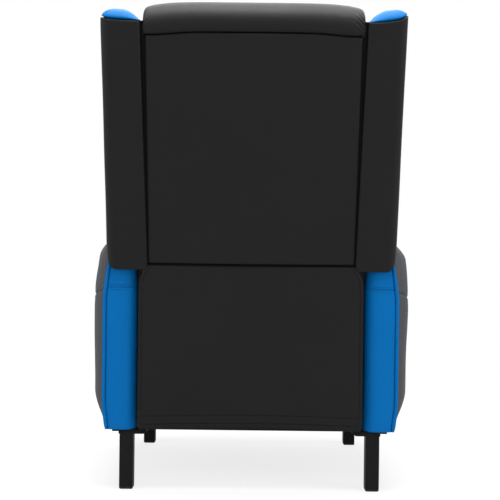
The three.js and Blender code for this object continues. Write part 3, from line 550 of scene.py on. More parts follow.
class Recipe:
    """Adds and links nodes in one node tree."""

    def __init__(self, tree: bpy.types.NodeTree) -> None:
        """Starts on an empty tree."""
        self.tree = tree
        tree.nodes.clear()

    def put(self, entry: Socket, value: object) -> None:
        """Links an output to an input, or gives the input a plain value.

        Args:
            entry: The input.
            value: An output, or the plain value.
        """
        if isinstance(value, bpy.types.NodeSocket):
            self.tree.links.new(value, entry)
        else:
            entry.default_value = value

    def add(self, kind: str, *entries: object, **values: object) -> bpy.types.Node:
        """Adds a node.

        Args:
            kind: The node's type, after the word ShaderNode.
            entries: Outputs or plain values for the first inputs, in order.
            values: Settings in small letters. With a capital, outputs or plain values for named
                inputs, with _ for a space.

        Returns:
            The new node.
        """
        node = self.tree.nodes.new(f"ShaderNode{kind}")
        for name, value in values.items():
            if name[0].islower():
                setattr(node, name, value)
            else:
                self.put(node.inputs[name.replace("_", " ")], value)
        for entry, value in zip(node.inputs, entries):
            self.put(entry, value)
        return node

    def math(self, operation: str, first: object, second: object = 0.0) -> Socket:
        """Does a sum on two values, each an output or a number."""
        return self.add("Math", first, second, operation=operation).outputs[0]

    def noise(self, spot: Socket, scale: object, **values: float) -> Socket:
        """Adds soft noise on coordinates, with a scale and other inputs."""
        return self.add("TexNoise", Vector=spot, Scale=scale, **values).outputs[0]

    def bump(self, height: Socket, strength: float, depth: float, **values: Socket) -> Socket:
        """Turns a height into a normal, on top of another normal where one is given."""
        return self.add("Bump", Height=height, Strength=strength, Distance=depth, **values).outputs[0]

    def blend(self, factor: Socket, first: object, second: object, how: str = "MIX") -> Socket:
        """Blends two colours by a factor.

        Args:
            factor: How much of the second shows, from 0 to 1.
            first: A colour, or an output that gives one.
            second: The other colour.
            how: The way of blending.

        Returns:
            The blended colour.
        """
        node = self.add("Mix", data_type="RGBA", blend_type=how)
        for at, value in ((0, factor), (6, first), (7, second)):
            self.put(node.inputs[at], value)
        return node.outputs[2]

    def effect(self, tree: bpy.types.NodeTree, spot: Socket, **values: object) -> Sockets:
        """Places a node group on coordinates, with values of its own, and returns its outputs."""
        return self.add("Group", node_tree=tree, Vector=spot, **values).outputs


class Effects:
    """Node groups that more than one finish uses, each built once."""

    @staticmethod
    def start(name: str, entries: dict[str, str], exits: dict[str, str]) -> tuple[Recipe, Sockets, Sockets]:
        """Starts a node group.

        Args:
            name: The group's name.
            entries: The kind of each input, by name.
            exits: The kind of each output, by name.

        Returns:
            The group's recipe, what comes into it, and what goes out.
        """
        tree = bpy.data.node_groups.new(name, "ShaderNodeTree")
        recipe = Recipe(tree)
        for way, sockets in (("INPUT", entries), ("OUTPUT", exits)):
            for label, kind in sockets.items():
                tree.interface.new_socket(label, in_out=way, socket_type=f"NodeSocket{kind}")
        return recipe, tree.nodes.new("NodeGroupInput").outputs, tree.nodes.new("NodeGroupOutput").inputs

    @staticmethod
    @cache
    def grain() -> bpy.types.NodeTree:
        """Returns the grain of coated fabric: small rounded pebbles with pores between them."""
        recipe, given, end = Effects.start(
            "Pebbled grain", {"Vector": "Vector", "Scale": "Float"}, {"Height": "Float", "Pores": "Float"}
        )
        spot, scale = given["Vector"], given["Scale"]
        warp = recipe.add("TexNoise", Vector=spot, Scale=recipe.math("MULTIPLY", scale, 0.22), Detail=2.0)
        shift = recipe.add("VectorMath", warp.outputs["Color"], operation="SCALE", Scale=0.0011)
        moved = recipe.add("VectorMath", spot, shift.outputs[0], operation="ADD").outputs[0]
        cells = recipe.add("TexVoronoi", feature="DISTANCE_TO_EDGE", Vector=moved, Scale=scale)
        pebble = recipe.add(
            "MapRange", interpolation_type="SMOOTHSTEP", Value=cells.outputs["Distance"], From_Max=0.32
        ).outputs[0]
        fine = recipe.noise(spot, recipe.math("MULTIPLY", scale, 2.3), Detail=3.0, Roughness=0.6)
        recipe.put(end["Height"], recipe.math("ADD", pebble, recipe.math("MULTIPLY", fine, 0.35)))
        recipe.put(end["Pores"], recipe.math("SUBTRACT", 1.0, pebble))
        return recipe.tree

    @staticmethod
    @cache
    def drift() -> bpy.types.NodeTree:
        """Returns a slow drift of tone over a surface, with a little fine mottle."""
        recipe, given, end = Effects.start(
            "Tone drift",
            {"Vector": "Vector", "Color": "Color", "Spread": "Float", "Scale": "Float"},
            {"Color": "Color", "Mask": "Float"},
        )
        slow = recipe.noise(given["Vector"], given["Scale"], Detail=3.0, Roughness=0.55)
        mottle = recipe.math("MULTIPLY", recipe.noise(given["Vector"], 420.0, Detail=2.0), 0.4)
        centred = recipe.math("SUBTRACT", recipe.math("ADD", slow, mottle), 0.7)
        factor = recipe.math("ADD", recipe.math("MULTIPLY", centred, given["Spread"]), 1.0)
        tinted = recipe.add("VectorMath", given["Color"], operation="SCALE", Scale=factor)
        recipe.put(end["Color"], tinted.outputs[0])
        recipe.put(end["Mask"], slow)
        return recipe.tree

    @staticmethod
    @cache
    def weave() -> bpy.types.NodeTree:
        """Returns a plain weave that lies across x and up z: over and under threads."""
        recipe, given, end = Effects.start(
            "Plain weave", {"Vector": "Vector", "Threads": "Float"}, {"Height": "Float"}
        )
        split = recipe.add("SeparateXYZ", given["Vector"]).outputs
        waves = []
        for axis in (0, 2):
            turns = recipe.math("MULTIPLY", split[axis], given["Threads"])
            waves.append(recipe.math("SINE", recipe.math("MULTIPLY", turns, math.tau)))
        half = recipe.math("MULTIPLY", recipe.math("MULTIPLY", *waves), 0.5)
        recipe.put(end["Height"], recipe.math("ADD", half, 0.5))
        return recipe.tree


@dataclass(frozen=True)
class Finish:
    """A procedural finish that lies on a piece's own coordinates."""

    name: str

    def surface(self, recipe: Recipe, spot: Socket) -> dict[str, object]:
        """Lays out the finish's own nodes.

        Args:
            recipe: The material's recipe.
            spot: The piece's own coordinates.

        Returns:
            The shader's inputs, by name.
        """
        raise NotImplementedError

    def material(self) -> bpy.types.Material:
        """Builds the finish's material.

        Returns:
            The material, on Object coordinates.
        """
        material = bpy.data.materials.new(self.name)
        material.use_nodes = True
        recipe = Recipe(material.node_tree)
        shader = recipe.add("BsdfPrincipled", **self.surface(recipe, recipe.add("TexCoord").outputs["Object"]))
        recipe.add("OutputMaterial", shader.outputs[0])
        return material


@dataclass(frozen=True)
class CoatedFabric(Finish):
    """Soft coated upholstery fabric with a fine pebbled grain."""

    colour: Colour
    roughness: float
    specular: float
    grain_scale: float = 820.0
    grain_depth: float = 0.00022
    wrinkle_depth: float = 0.0006
    spread: float = 0.22
    pore_tone: float = 0.55

    def surface(self, recipe: Recipe, spot: Socket) -> dict[str, object]:
        """Lays out the drifting tone, the dark pores, and the bumps of wrinkles and grain."""
        tone = recipe.effect(Effects.drift(), spot, Color=linear(self.colour), Spread=self.spread, Scale=7.0)
        grain = recipe.effect(Effects.grain(), spot, Scale=self.grain_scale)
        dark = recipe.math("MULTIPLY", grain["Pores"], 0.45)
        uneven = recipe.math("MULTIPLY", tone["Mask"], 0.16)
        uneven = recipe.math("ADD", uneven, recipe.math("MULTIPLY", grain["Pores"], 0.12))
        wrinkles = recipe.noise(spot, 26.0, Detail=3.0, Roughness=0.5, Distortion=0.6)
        broad = recipe.bump(wrinkles, 0.5, self.wrinkle_depth)
        return {
            "Base Color": recipe.blend(dark, tone["Color"], (*[self.pore_tone] * 3, 1), "MULTIPLY"),
            "Roughness": recipe.math("ADD", uneven, self.roughness - 0.09),
            "Specular IOR Level": self.specular,
            "Normal": recipe.bump(grain["Height"], 0.55, self.grain_depth, Normal=broad),
        }


@dataclass(frozen=True)
class LiningCloth(Finish):
    """Thin woven lining cloth with a matt face."""

    colour: Colour
    threads: float = 620.0
    gap_tone: float = 0.5

    def surface(self, recipe: Recipe, spot: Socket) -> dict[str, object]:
        """Lays out the drifting tone, and the bumps of folds and threads."""
        tone = recipe.effect(Effects.drift(), spot, Color=linear(self.colour), Spread=0.28, Scale=9.0)
        height = recipe.effect(Effects.weave(), spot, Threads=self.threads)["Height"]
        low = recipe.math("MULTIPLY", recipe.math("SUBTRACT", 1.0, height), 0.4)
        folds = recipe.bump(recipe.noise(spot, 14.0, Detail=2.0, Distortion=0.4), 0.5, 0.0009)
        return {
            "Base Color": recipe.blend(low, tone["Color"], (*[self.gap_tone] * 3, 1), "MULTIPLY"),
            "Roughness": 0.82,
            "Specular IOR Level": 0.16,
            "Normal": recipe.bump(height, 0.5, 0.00012, Normal=folds),
        }


@dataclass(frozen=True)
class PaintedMetal(Finish):
    """Metal with a coat of powder paint or zinc, lighter along its sharp edges: part wear, part painted highlight."""

    colour: Colour
    wear_and_highlight: Colour
    roughness: float
    metallic: float = 0.0
    specular: float = 0.4
    texture: float = 900.0
    depth: float = 0.00006

    def surface(self, recipe: Recipe, spot: Socket) -> dict[str, object]:
        """Lays out the drifting tone, the lighter sharp edges (wear and painted highlight), and the texture of the
        coat.
        """
        tone = recipe.effect(Effects.drift(), spot, Color=linear(self.colour), Spread=0.3, Scale=16.0)
        # Sharp edges, found by pointiness, take the lighter second colour: part wear, part painted highlight.
        bend = recipe.add("NewGeometry").outputs["Pointiness"]
        edge = recipe.add("MapRange", Value=bend, From_Min=0.53, From_Max=0.6).outputs[0]
        specks = recipe.noise(spot, 160.0, Detail=4.0, Roughness=0.7)
        wear_and_highlight = recipe.math("MULTIPLY", edge, specks)
        return {
            "Base Color": recipe.blend(wear_and_highlight, tone["Color"], linear(self.wear_and_highlight)),
            "Roughness": recipe.math("ADD", recipe.math("MULTIPLY", specks, 0.2), self.roughness - 0.1),
            "Metallic": self.metallic,
            "Specular IOR Level": self.specular,
            "Normal": recipe.bump(recipe.noise(spot, self.texture, Detail=2.0), 0.5, self.depth),
        }


@dataclass(frozen=True)
class Plywood(Finish):
    """Birch plywood with long grain along y and thin growth lines."""

    light: Colour
    dark: Colour

    def surface(self, recipe: Recipe, spot: Socket) -> dict[str, object]:
        """Lays out the growth lines in tone and in height."""
        along = recipe.add("Mapping", spot, Scale=(40, 3, 40)).outputs[0]
        lines = recipe.noise(along, 3.0, Detail=6.0, Roughness=0.65, Distortion=0.8)
        return {
            "Base Color": recipe.blend(lines, linear(self.light), linear(self.dark)),
            "Roughness": 0.7,
            "Normal": recipe.bump(lines, 0.3, 0.0003),
        }


@dataclass(frozen=True)
class Finishes:
    """Every finish of the chair, built once."""

    black: bpy.types.Material
    grey: bpy.types.Material
    blue: bpy.types.Material
    # painted shade: a black darker than the fabric's own, for the wing's groove and the seam's welt
    shade: bpy.types.Material
    cloth: bpy.types.Material
    steel: bpy.types.Material
    zinc: bpy.types.Material
    wire: bpy.types.Material
    wood: bpy.types.Material
    plastic: bpy.types.Material
    black_thread: bpy.types.Material
    blue_thread: bpy.types.Material

    @staticmethod
    def build() -> "Finishes":
        """Builds all finishes.

        Returns:
            The chair's finishes.
        """
        thread = {"roughness": 0.7, "grain_scale": 2400.0}
        kinds: dict[str, Finish] = {
            "black": CoatedFabric("black coated fabric", (24, 24, 25), 0.42, 0.1),
            "grey": CoatedFabric("grey coated fabric", (66, 68, 71), 0.5, 0.12),
            "blue": CoatedFabric("blue coated fabric", (0, 95, 160), 0.42, 0.05, spread=0.1),
            # Painted shade: darker than the black fabric, standing in for the shade in the wing's groove and along the
            # seam under the back's panel.
            "shade": CoatedFabric("black painted shade edge", (11, 12, 12), 0.6, 0.03),
            "cloth": LiningCloth("black lining cloth", (20, 20, 20)),
            # Each metal's second colour is that of its sharp edges: part wear, part painted highlight.
            "steel": PaintedMetal("black powder paint", (9, 9, 9), (30, 30, 30), 0.55, specular=0.05),
            "zinc": PaintedMetal("zinc plated steel", (152, 156, 160), (190, 192, 195), 0.36, 1.0, texture=60.0),
            "wire": PaintedMetal("spring wire", (110, 110, 112), (150, 150, 152), 0.34, 1.0, texture=300.0),
            "wood": Plywood("plywood", (196, 160, 112), (150, 112, 70)),
            "plastic": PaintedMetal(
                "black plastic", (17, 17, 17), (40, 40, 40), 0.55, specular=0.1, texture=1400.0
            ),
            "black_thread": CoatedFabric("black thread", (8, 8, 8), specular=0.03, **thread),
            "blue_thread": CoatedFabric("blue thread", (2, 58, 104), specular=0.05, **thread),
        }
        return Finishes(**{name: finish.material() for name, finish in kinds.items()})


def fit_out(
    piece: bpy.types.Object,
    finish: bpy.types.Material,
    body: str,
    replaces: Sequence[str] = (),
    sharp: float = 50.0,
) -> None:
    """Gives a finished piece its material, its body, and what it stands for.

    Args:
        piece: The modelled piece.
        finish: Its material.
        body: The body that it rides on, or nothing where it is blended.
        replaces: The model's nodes that it stands for.
        sharp: Edges sharper than this many degrees stay sharp.
    """
    piece.data.materials.clear()
    piece.data.materials.append(finish)
    Workshop.take(piece)
    bpy.ops.object.shade_smooth_by_angle(angle=math.radians(sharp))
    if body:
        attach(piece, body)
    if replaces:
        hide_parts(*replaces)
    LOG.info("%s: %d faces", piece.name, len(piece.data.polygons))


# The arms


@dataclass
class Arm:
    """One padded arm: a blue strip up the rear, over the top and down the front, and two side panels."""

    side: Side
    finishes: Finishes
    rear: float = 0.25799
    front: float = -0.38201
    top: float = 0.562
    foot: float = 0.1266
    inner: float = 0.240  # half the opening between the arms
    width: float = 0.0755
    shoulder_fall: float = 0.0235
    foot_taper: float = 0.0065
    seam: float = 0.430  # the height of the seam across the strip
    rear_radius: float = 0.115
    front_radius: float = 0.110
    low_radius: float = 0.014
    thickness: float = 0.0217
    piping: float = 0.0042
    inner_round: float = 0.027
    inner_depth: float = 0.0205
    outer_round: float = 0.0045
    crown: float = 0.0028
    full: float = 0.337  # how far out the side panel reaches
    inner_panel: float = 0.012
    seam_draw: float = 0.17  # how much of its depth the strip loses at a seam
    row_gap: float = 0.0052  # from the seam to a row of stitches
    strip_inner: float = 0.2420
    strip_cut: float = 0.0010
    strip_waist: float = 0.003  # how far the strip gives way at the wing's foot
    side_seam_height: float = 0.411
    side_seam_rise: float = 0.013
    side_row_drop: float = 0.0065
    bulge_height: float = 0.385
    bulge_reach: float = 0.085
    slack_height: float = 0.490
    slack_reach: float = 0.040
    crease: float = 0.0044
    crease_half: float = 0.0024
    hollow: float = 0.0010
    pucker: float = 0.0011
    pucker_reach: float = 0.015
    piping_sunk: float = 0.95  # as a share of its radius, like the next
    piping_covered: float = 0.6
    gap: float = 0.0005
    lining: float = 0.0009
    shape: SideShape = field(init=False)

    def __post_init__(self) -> None:
        """Takes up what is this side's own."""
        self.shape = SHAPES[self.side]

    def width_at(self, height: float) -> float:
        """The strip's width at a height: narrower towards the top, and a little at the foot."""
        fall = read(((self.seam - 0.02, 0), (self.seam + 0.035, 0.28), (self.top, 1)), height)
        tuck = self.foot_taper * (1 - ease(height, self.foot, self.foot + 0.06))
        return self.width - self.shoulder_fall * fall - tuck

    def on_path(self, travel: float) -> tuple[Vector, Vector]:
        """Follows the strip from its rear foot, up, over the arm and down to its front foot.

        Args:
            travel: How far along the path.

        Returns:
            The place (y, z) and the direction away from the arm, both as flat vectors.
        """
        rise = self.top - self.rear_radius - self.foot
        turn = self.rear_radius * math.pi / 2
        level = self.rear - self.front - self.rear_radius - self.front_radius
        turn_down = self.front_radius * math.pi / 2
        if travel < rise:
            return Vector((self.rear, self.foot + travel)), Vector((1, 0))
        travel -= rise
        if travel < turn:
            out = ray(travel / self.rear_radius)
            return Vector((self.rear - self.rear_radius, self.top - self.rear_radius)) + out * self.rear_radius, out
        travel -= turn
        if travel < level:
            return Vector((self.rear - self.rear_radius - travel, self.top)), Vector((0, 1))
        travel -= level
        if travel < turn_down:
            out = ray(math.pi / 2 + travel / self.front_radius)
            centre = Vector((self.front + self.front_radius, self.top - self.front_radius))
            return centre + out * self.front_radius, out
        travel -= turn_down
        return Vector((self.front, self.top - self.front_radius - travel)), Vector((-1, 0))

    def length(self) -> float:
        """The length of the strip's whole path."""
        rise = self.top - self.rear_radius - self.foot
        fall = self.top - self.front_radius - self.foot
        level = self.rear - self.front - self.rear_radius - self.front_radius
        return rise + fall + level + (self.rear_radius + self.front_radius) * math.pi / 2

    def section(self, width: float) -> list[Flat]:
        """The strip's section as (across, depth): a rounded inner edge and a crowned face.

        Args:
            width: The strip's width at this place.

        Returns:
            The points round the section.
        """
        wide, corner = width - 2 * self.piping + 0.0008, 0.0006
        points: list[Flat] = []
        for angle in (math.pi / 2 * share for share in shares(7)):
            points.append((self.inner_round * (1 - math.cos(angle)), self.inner_depth * (1 - math.sin(angle))))
        points += [(mix(self.inner_round, wide - self.outer_round, share), 0.0) for share in shares(10)[1:-1]]
        for angle in (math.pi / 2 * share for share in shares(5)):
            points.append(
                (wide - self.outer_round * (1 - math.sin(angle)), self.outer_round * (1 - math.cos(angle)))
            )
        points += [(wide, self.thickness * 0.7), (wide - corner, self.thickness)]
        points += [(mix(wide, 0, share), self.thickness) for share in shares(4)[1:-1]]
        points += [(corner, self.thickness)] + [(0.0, self.thickness * share) for share in (0.97, 0.93, 0.9)]
        crowned = []
        for across, depth in points:
            share = 2 * across / wide - 1
            front = 1 - min(depth / self.thickness, 1)
            crowned.append((across, depth + self.crown * front * share * share))
        return crowned

    def softness(self, across: float, travel: float) -> float:
        """How far the strip's fabric stands proud at a point: slow hollows, and puckers beside its seams.

        Args:
            across: The distance from the strip's inner edge.
            travel: How far along the path.

        Returns:
            The height, which can be negative.
        """
        rear_seam = self.seam - self.foot
        from_seam = min(abs(travel - rear_seam), abs(self.length() - rear_seam - travel))
        slow = waver(self.hollow, across * 26, travel * 11, 3.0 * self.side.sign)
        pucker = waver(self.pucker, across * 150, travel * 30, 8.0 * self.side.sign)
        return slow + pucker * hump(from_seam, 0.004, self.pucker_reach)

    def strip(self, name: str, start: float, stop: float, replaces: str) -> None:
        """Models one length of the padded strip.

        Args:
            name: The piece's name.
            start: Where it starts along the path.
            stop: Where it stops.
            replaces: The node that it stands for.
        """
        ends = (0.0006, 0.0018, 0.0036, 0.0065, 0.011)
        travels = spread(start, stop, max(int((stop - start) / 0.011), 4), ends)
        sides = len(self.section(self.width))

        def place(k: int, ring: int) -> Vector:
            """Places a point of the section: the strip has a waist at the wing's foot and is drawn in at its seams."""
            travel = travels[ring]
            spot, out = self.on_path(travel)
            start_x = self.strip_inner + self.strip_waist * hump(spot.y, 0.470, 0.026) * ease(spot.x, 0.0, 0.2)
            across, depth = self.section(self.inner + self.width_at(spot.y) + self.strip_cut - start_x)[k]
            from_end = min(travel - start, stop - travel)
            depth += (self.thickness / 2 - depth) * self.seam_draw * (1 - min(from_end / 0.0065, 1)) ** 2
            depth -= self.softness(across, travel) * (1 - min(depth / self.inner_depth, 1))
            spot = spot - out * depth
            return self.side.at(start_x + across, spot.x, spot.y)

        piece = Workshop.loft(f"{name}_{self.side.word}", sides, len(travels), place)
        Workshop.refined(piece)
        fit_out(piece, self.finishes.blue, "base", [f"{replaces}_{self.side.word}"])

    def piped_edge(self) -> None:
        """Models the piping between the strip and the outer panel."""
        path = []
        for travel in spread(0.001, self.length() - 0.001, 150):
            spot, out = self.on_path(travel)
            across = self.inner + self.width_at(spot.y) + self.strip_cut - self.piping
            spot = spot - out * (self.piping * self.piping_sunk)
            path.append(self.side.at(across, spot.x, spot.y))
        piece = Workshop.tube(f"arm_piping_{self.side.word}", path, self.piping, sides=12, ends=0.5)
        fit_out(piece, self.finishes.blue, "base", sharp=60)

    def seam_rows(self) -> None:
        """Sews a row of stitches on both sides of each seam of the strip, at the rear and at the front."""
        rear, front = self.seam - self.foot, self.length() - self.seam + self.foot
        wide = self.width - 2 * self.piping
        for name, travel in (
            ("rear_upper", rear + self.row_gap), ("rear_lower", rear - self.row_gap),
            ("front_upper", front - self.row_gap), ("front_lower", front + self.row_gap),
        ):
            spot, out = self.on_path(travel)
            path = []
            for across in (mix(0.017, self.width - 0.014, share) for share in shares(10)):
                depth = self.crown * (2 * across / wide - 1) ** 2 - self.softness(across, travel) - 0.0001
                path.append(self.side.at(self.strip_inner + across, *(spot - out * depth)))
            away = Vector((0, *out))
            piece = Workshop.stitches(
                f"arm_{name}_stitches_{self.side.word}", path, lambda _, away=away: away, pitch=0.0052
            )
            fit_out(piece, self.finishes.blue_thread, "base")

    def inset(self, y: float, z: float) -> float:
        """How far a point of the arm's side lies in from the arm's outline.

        Args:
            y: The point's depth.
            z: The point's height.

        Returns:
            The shortest distance to the outline.
        """
        corners = (
            (self.rear - self.rear_radius, self.top - self.rear_radius, self.rear_radius, 1, 1),
            (self.front + self.front_radius, self.top - self.front_radius, self.front_radius, -1, 1),
            (self.rear - self.low_radius, self.foot + self.low_radius, self.low_radius, 1, -1),
            (self.front + self.low_radius, self.foot + self.low_radius, self.low_radius, -1, -1),
        )
        for cy, cz, radius, to_rear, upward in corners:
            if (y - cy) * to_rear > 0 and (z - cz) * upward > 0:
                return max(radius - math.hypot(y - cy, z - cz), 0.0)
        return max(min(self.rear - y, y - self.front, self.top - z, z - self.foot), 0.0)

    def reach(self, z: float) -> Flat:
        """The front and rear ends of the arm's side at a height.

        Args:
            z: The height.

        Returns:
            The two ends, as y.
        """
        front, rear = self.front, self.rear
        for radius, upward in ((self.rear_radius, 1), (self.low_radius, -1)):
            rear = min(rear, self.rear - self.corner_cut(z, radius, upward))
        for radius, upward in ((self.front_radius, 1), (self.low_radius, -1)):
            front = max(front, self.front + self.corner_cut(z, radius, upward))
        return front, rear

    def corner_cut(self, z: float, radius: float, upward: int) -> float:
        """How much a rounded corner takes off the side's length at a height."""
        edge = self.top if upward > 0 else self.foot
        return rounded_fall((edge - z) * upward, radius)

    def swell(self, y: float, z: float) -> float:
        """How far the outer panel has swollen at a point, from 0 at its edge to 1.

        Args:
            y: The point's depth.
            z: The point's height.

        Returns:
            The share of the full swelling.
        """
        shoulder = ((0, 0.0), (0.003, 0.2), (0.0096, 0.48), (0.0288, 0.82), (0.06, 0.96), (0.096, 1))
        rise = read(shoulder, self.inset(y, z))
        below = ease(self.top - z, 0, 0.068)
        above = ease(z - self.foot, 0.004, 0.085)
        return rise * below * above

    def outer_start(self, z: float) -> float:
        """How far out the outer panel starts at a height, beside the piping."""
        return self.inner + self.width_at(z) + self.strip_cut - self.piping * self.piping_covered

    def outer_x(self, y: float, z: float) -> float:
        """How far out the outer panel's face lies at a point, before its creases."""
        bulge = self.shape.bulge * hump(z, self.bulge_height, self.bulge_reach)
        full = self.full + bulge - self.shape.slack * hump(z, self.slack_height, self.slack_reach)
        return mix(self.outer_start(z), full, self.swell(y, z))

    def side_seam(self, y: float) -> float:
        """The height of the outer panel's seam."""
        return self.side_seam_height + self.side_seam_rise * (1 - ease(self.rear - y, 0, 0.05))

    def outer_panel(self) -> None:
        """Models the swollen outer side panel, with the seam that runs along it."""
        middle = self.side_seam_height
        rows = spread(self.foot, self.top, 60, (0.001, 0.003, 0.006, 0.01), (middle,))
        columns = spread(0, 1, 72, (0.001, 0.004, 0.009, 0.016, 0.025, 0.036, 0.05, 0.065))
        edge = 0.0012

        def place(spot: Vector) -> Vector:
            """Places a point of the panel: its back is flat, and its face swells and creases at the seam."""
            z = spot.z
            front, rear = self.reach(z)
            y = mix(front + edge, rear - edge, spot.y)
            z += (self.side_seam(y) - middle) * hump(z, middle, 0.03)
            start = self.outer_start(z)
            if spot.x < 0.5:
                return self.side.at(start - 0.004, y, z)
            out, seam = self.outer_x(y, z), self.side_seam(y)
            crease = self.crease * hump(z, seam, self.crease_half) + 0.0012 * hump(z, seam, 0.012)
            soft = waver(0.0011, y * 9, z * 11, self.side.sign)
            return self.side.at(out + 0.0008 - (crease - soft) * ease(out - start, 0, 0.008), y, z)

        piece = Workshop.block(f"arm_outer_skin_{self.side.word}", (0, 1), columns, rows, place)
        fit_out(piece, self.finishes.grey, "base", [f"arm_outer_panel_{self.side.word}"])
        path = []
        for y in (mix(self.front + 0.006, self.rear - 0.006, share) for share in shares(120)):
            z = self.side_seam(y) - self.side_row_drop
            path.append(self.side.at(self.outer_x(y, z) + 0.0004, y, z))
        row = Workshop.stitches(f"arm_side_stitches_{self.side.word}", path, lambda _: self.side.at(1, 0, 0))
        fit_out(row, self.finishes.black_thread, "base")

    def inner_side(self) -> None:
        """Models the flat padded inner side panel."""
        low, high = self.foot + 0.001, self.top - self.thickness - self.gap
        rows = spread(low, high, 26, (0.0015, 0.004, 0.009))
        columns = spread(0, 1, 36, (0.003, 0.009, 0.02))

        def place(spot: Vector) -> Vector:
            """Places a point of the panel, whose edges are rounded on its inner face."""
            z = spot.z
            front, rear = self.reach(min(z + self.thickness, self.top - 0.0001))
            y = mix(front + self.thickness, rear - self.thickness, spot.y)
            from_edge = min(z - low, high - z, y - front - self.thickness, rear - self.thickness - y)
            drawn = rounded_fall(from_edge, 0.005)
            return self.side.at(self.inner + (self.inner_panel if spot.x > 0.5 else 0.0003 + drawn), y, z)

        piece = Workshop.block(f"arm_inner_skin_{self.side.word}", (0, 1), columns, rows, place)
        fit_out(piece, self.finishes.grey, "base", [f"arm_inner_panel_{self.side.word}"])

    def core(self) -> None:
        """Models the plywood frame inside the padding, and the black lining stretched under it."""
        gap = self.gap
        rows = spread(self.foot + 0.0020, self.top - self.thickness - gap, 24)

        def place(spot: Vector) -> Vector:
            """Moves a point of the block to its place in the arm."""
            front, rear = self.reach(min(spot.z + self.thickness, self.top - 0.0001))
            y = mix(front + self.thickness + gap, rear - self.thickness - gap, spot.y)
            outer = self.inner + self.width_at(spot.z) - self.piping * self.piping_covered - 0.0045
            return self.side.at(mix(self.inner + self.inner_panel + gap, outer, spot.x), y, spot.z)

        piece = Workshop.block(f"arm_core_{self.side.word}", (0, 1), (0, 1), rows, place)
        fit_out(piece, self.finishes.wood, "base", [f"arm_frame_{self.side.word}"])
        across = (self.inner + 0.004, self.inner + self.width_at(self.foot) - 0.004)
        along = (self.front + 0.006, self.rear - 0.006)

        def hem(spot: Vector) -> Vector:
            """Moves a point of the lining to its place under the arm."""
            sag = 0.0005 * math.sin(math.pi * spot.x) * math.sin(math.pi * spot.y)
            z = self.foot + 0.0008 + spot.z * self.lining - sag
            return self.side.at(mix(*across, spot.x), mix(*along, spot.y), z)

        lining = Workshop.block(f"arm_foot_lining_{self.side.word}", shares(8), shares(48), (0, 1), hem)
        fit_out(lining, self.finishes.cloth, "base")

    def side_lining(self) -> None:
        """Models the black lining on the arm's inner side, behind the loose lower cover."""
        out, depths, heights = 0.2366, (0.2145, 0.2636), (0.165, 0.470)
        tongue, tongue_foot, tongue_full = 0.060, 0.400, 0.420

        def place(spot: Vector) -> Vector:
            """Moves a point of the lining to its place beside the base rail and over it."""
            z = mix(*heights, spot.z)
            y = mix(depths[0] - tongue * ease(z, tongue_foot, tongue_full), depths[1], spot.y)
            return self.side.at(out + self.lining * spot.x + waver(0.0004, y * 30, z * 14, 6.0), y, z)

        piece = Workshop.block(f"arm_side_lining_{self.side.word}", (0, 1), shares(8), shares(40), place)
        fit_out(piece, self.finishes.cloth, "base")

    def build(self) -> None:
        """Builds the whole arm."""
        rear_seam = self.seam - self.foot
        front_seam = self.length() - rear_seam
        self.strip("arm_rear_strip", 0.0004, rear_seam, "arm_rear_facing")
        self.strip("arm_top_strip", rear_seam, front_seam, "arm_top_pad")
        self.strip("arm_front_strip", front_seam, self.length() - 0.0004, "arm_front_facing")
        for model in (
            self.piped_edge, self.seam_rows, self.outer_panel, self.inner_side, self.core, self.side_lining
        ):
            model()


# The back


@dataclass
class BackFrame:
    """The back's own frame: its pivot is the origin and its height runs along the lean."""

    pivot_y: float = 0.18299
    pivot_z: float = 0.355
    lean: float = math.radians(13)

    def at(self, x: float, y: float, z: float) -> Vector:
        """Moves a point of the upright back to its place on the chair."""
        sine, cosine = math.sin(self.lean), math.cos(self.lean)
        return Vector((x, self.pivot_y + y * cosine + z * sine, self.pivot_z + z * cosine - y * sine))


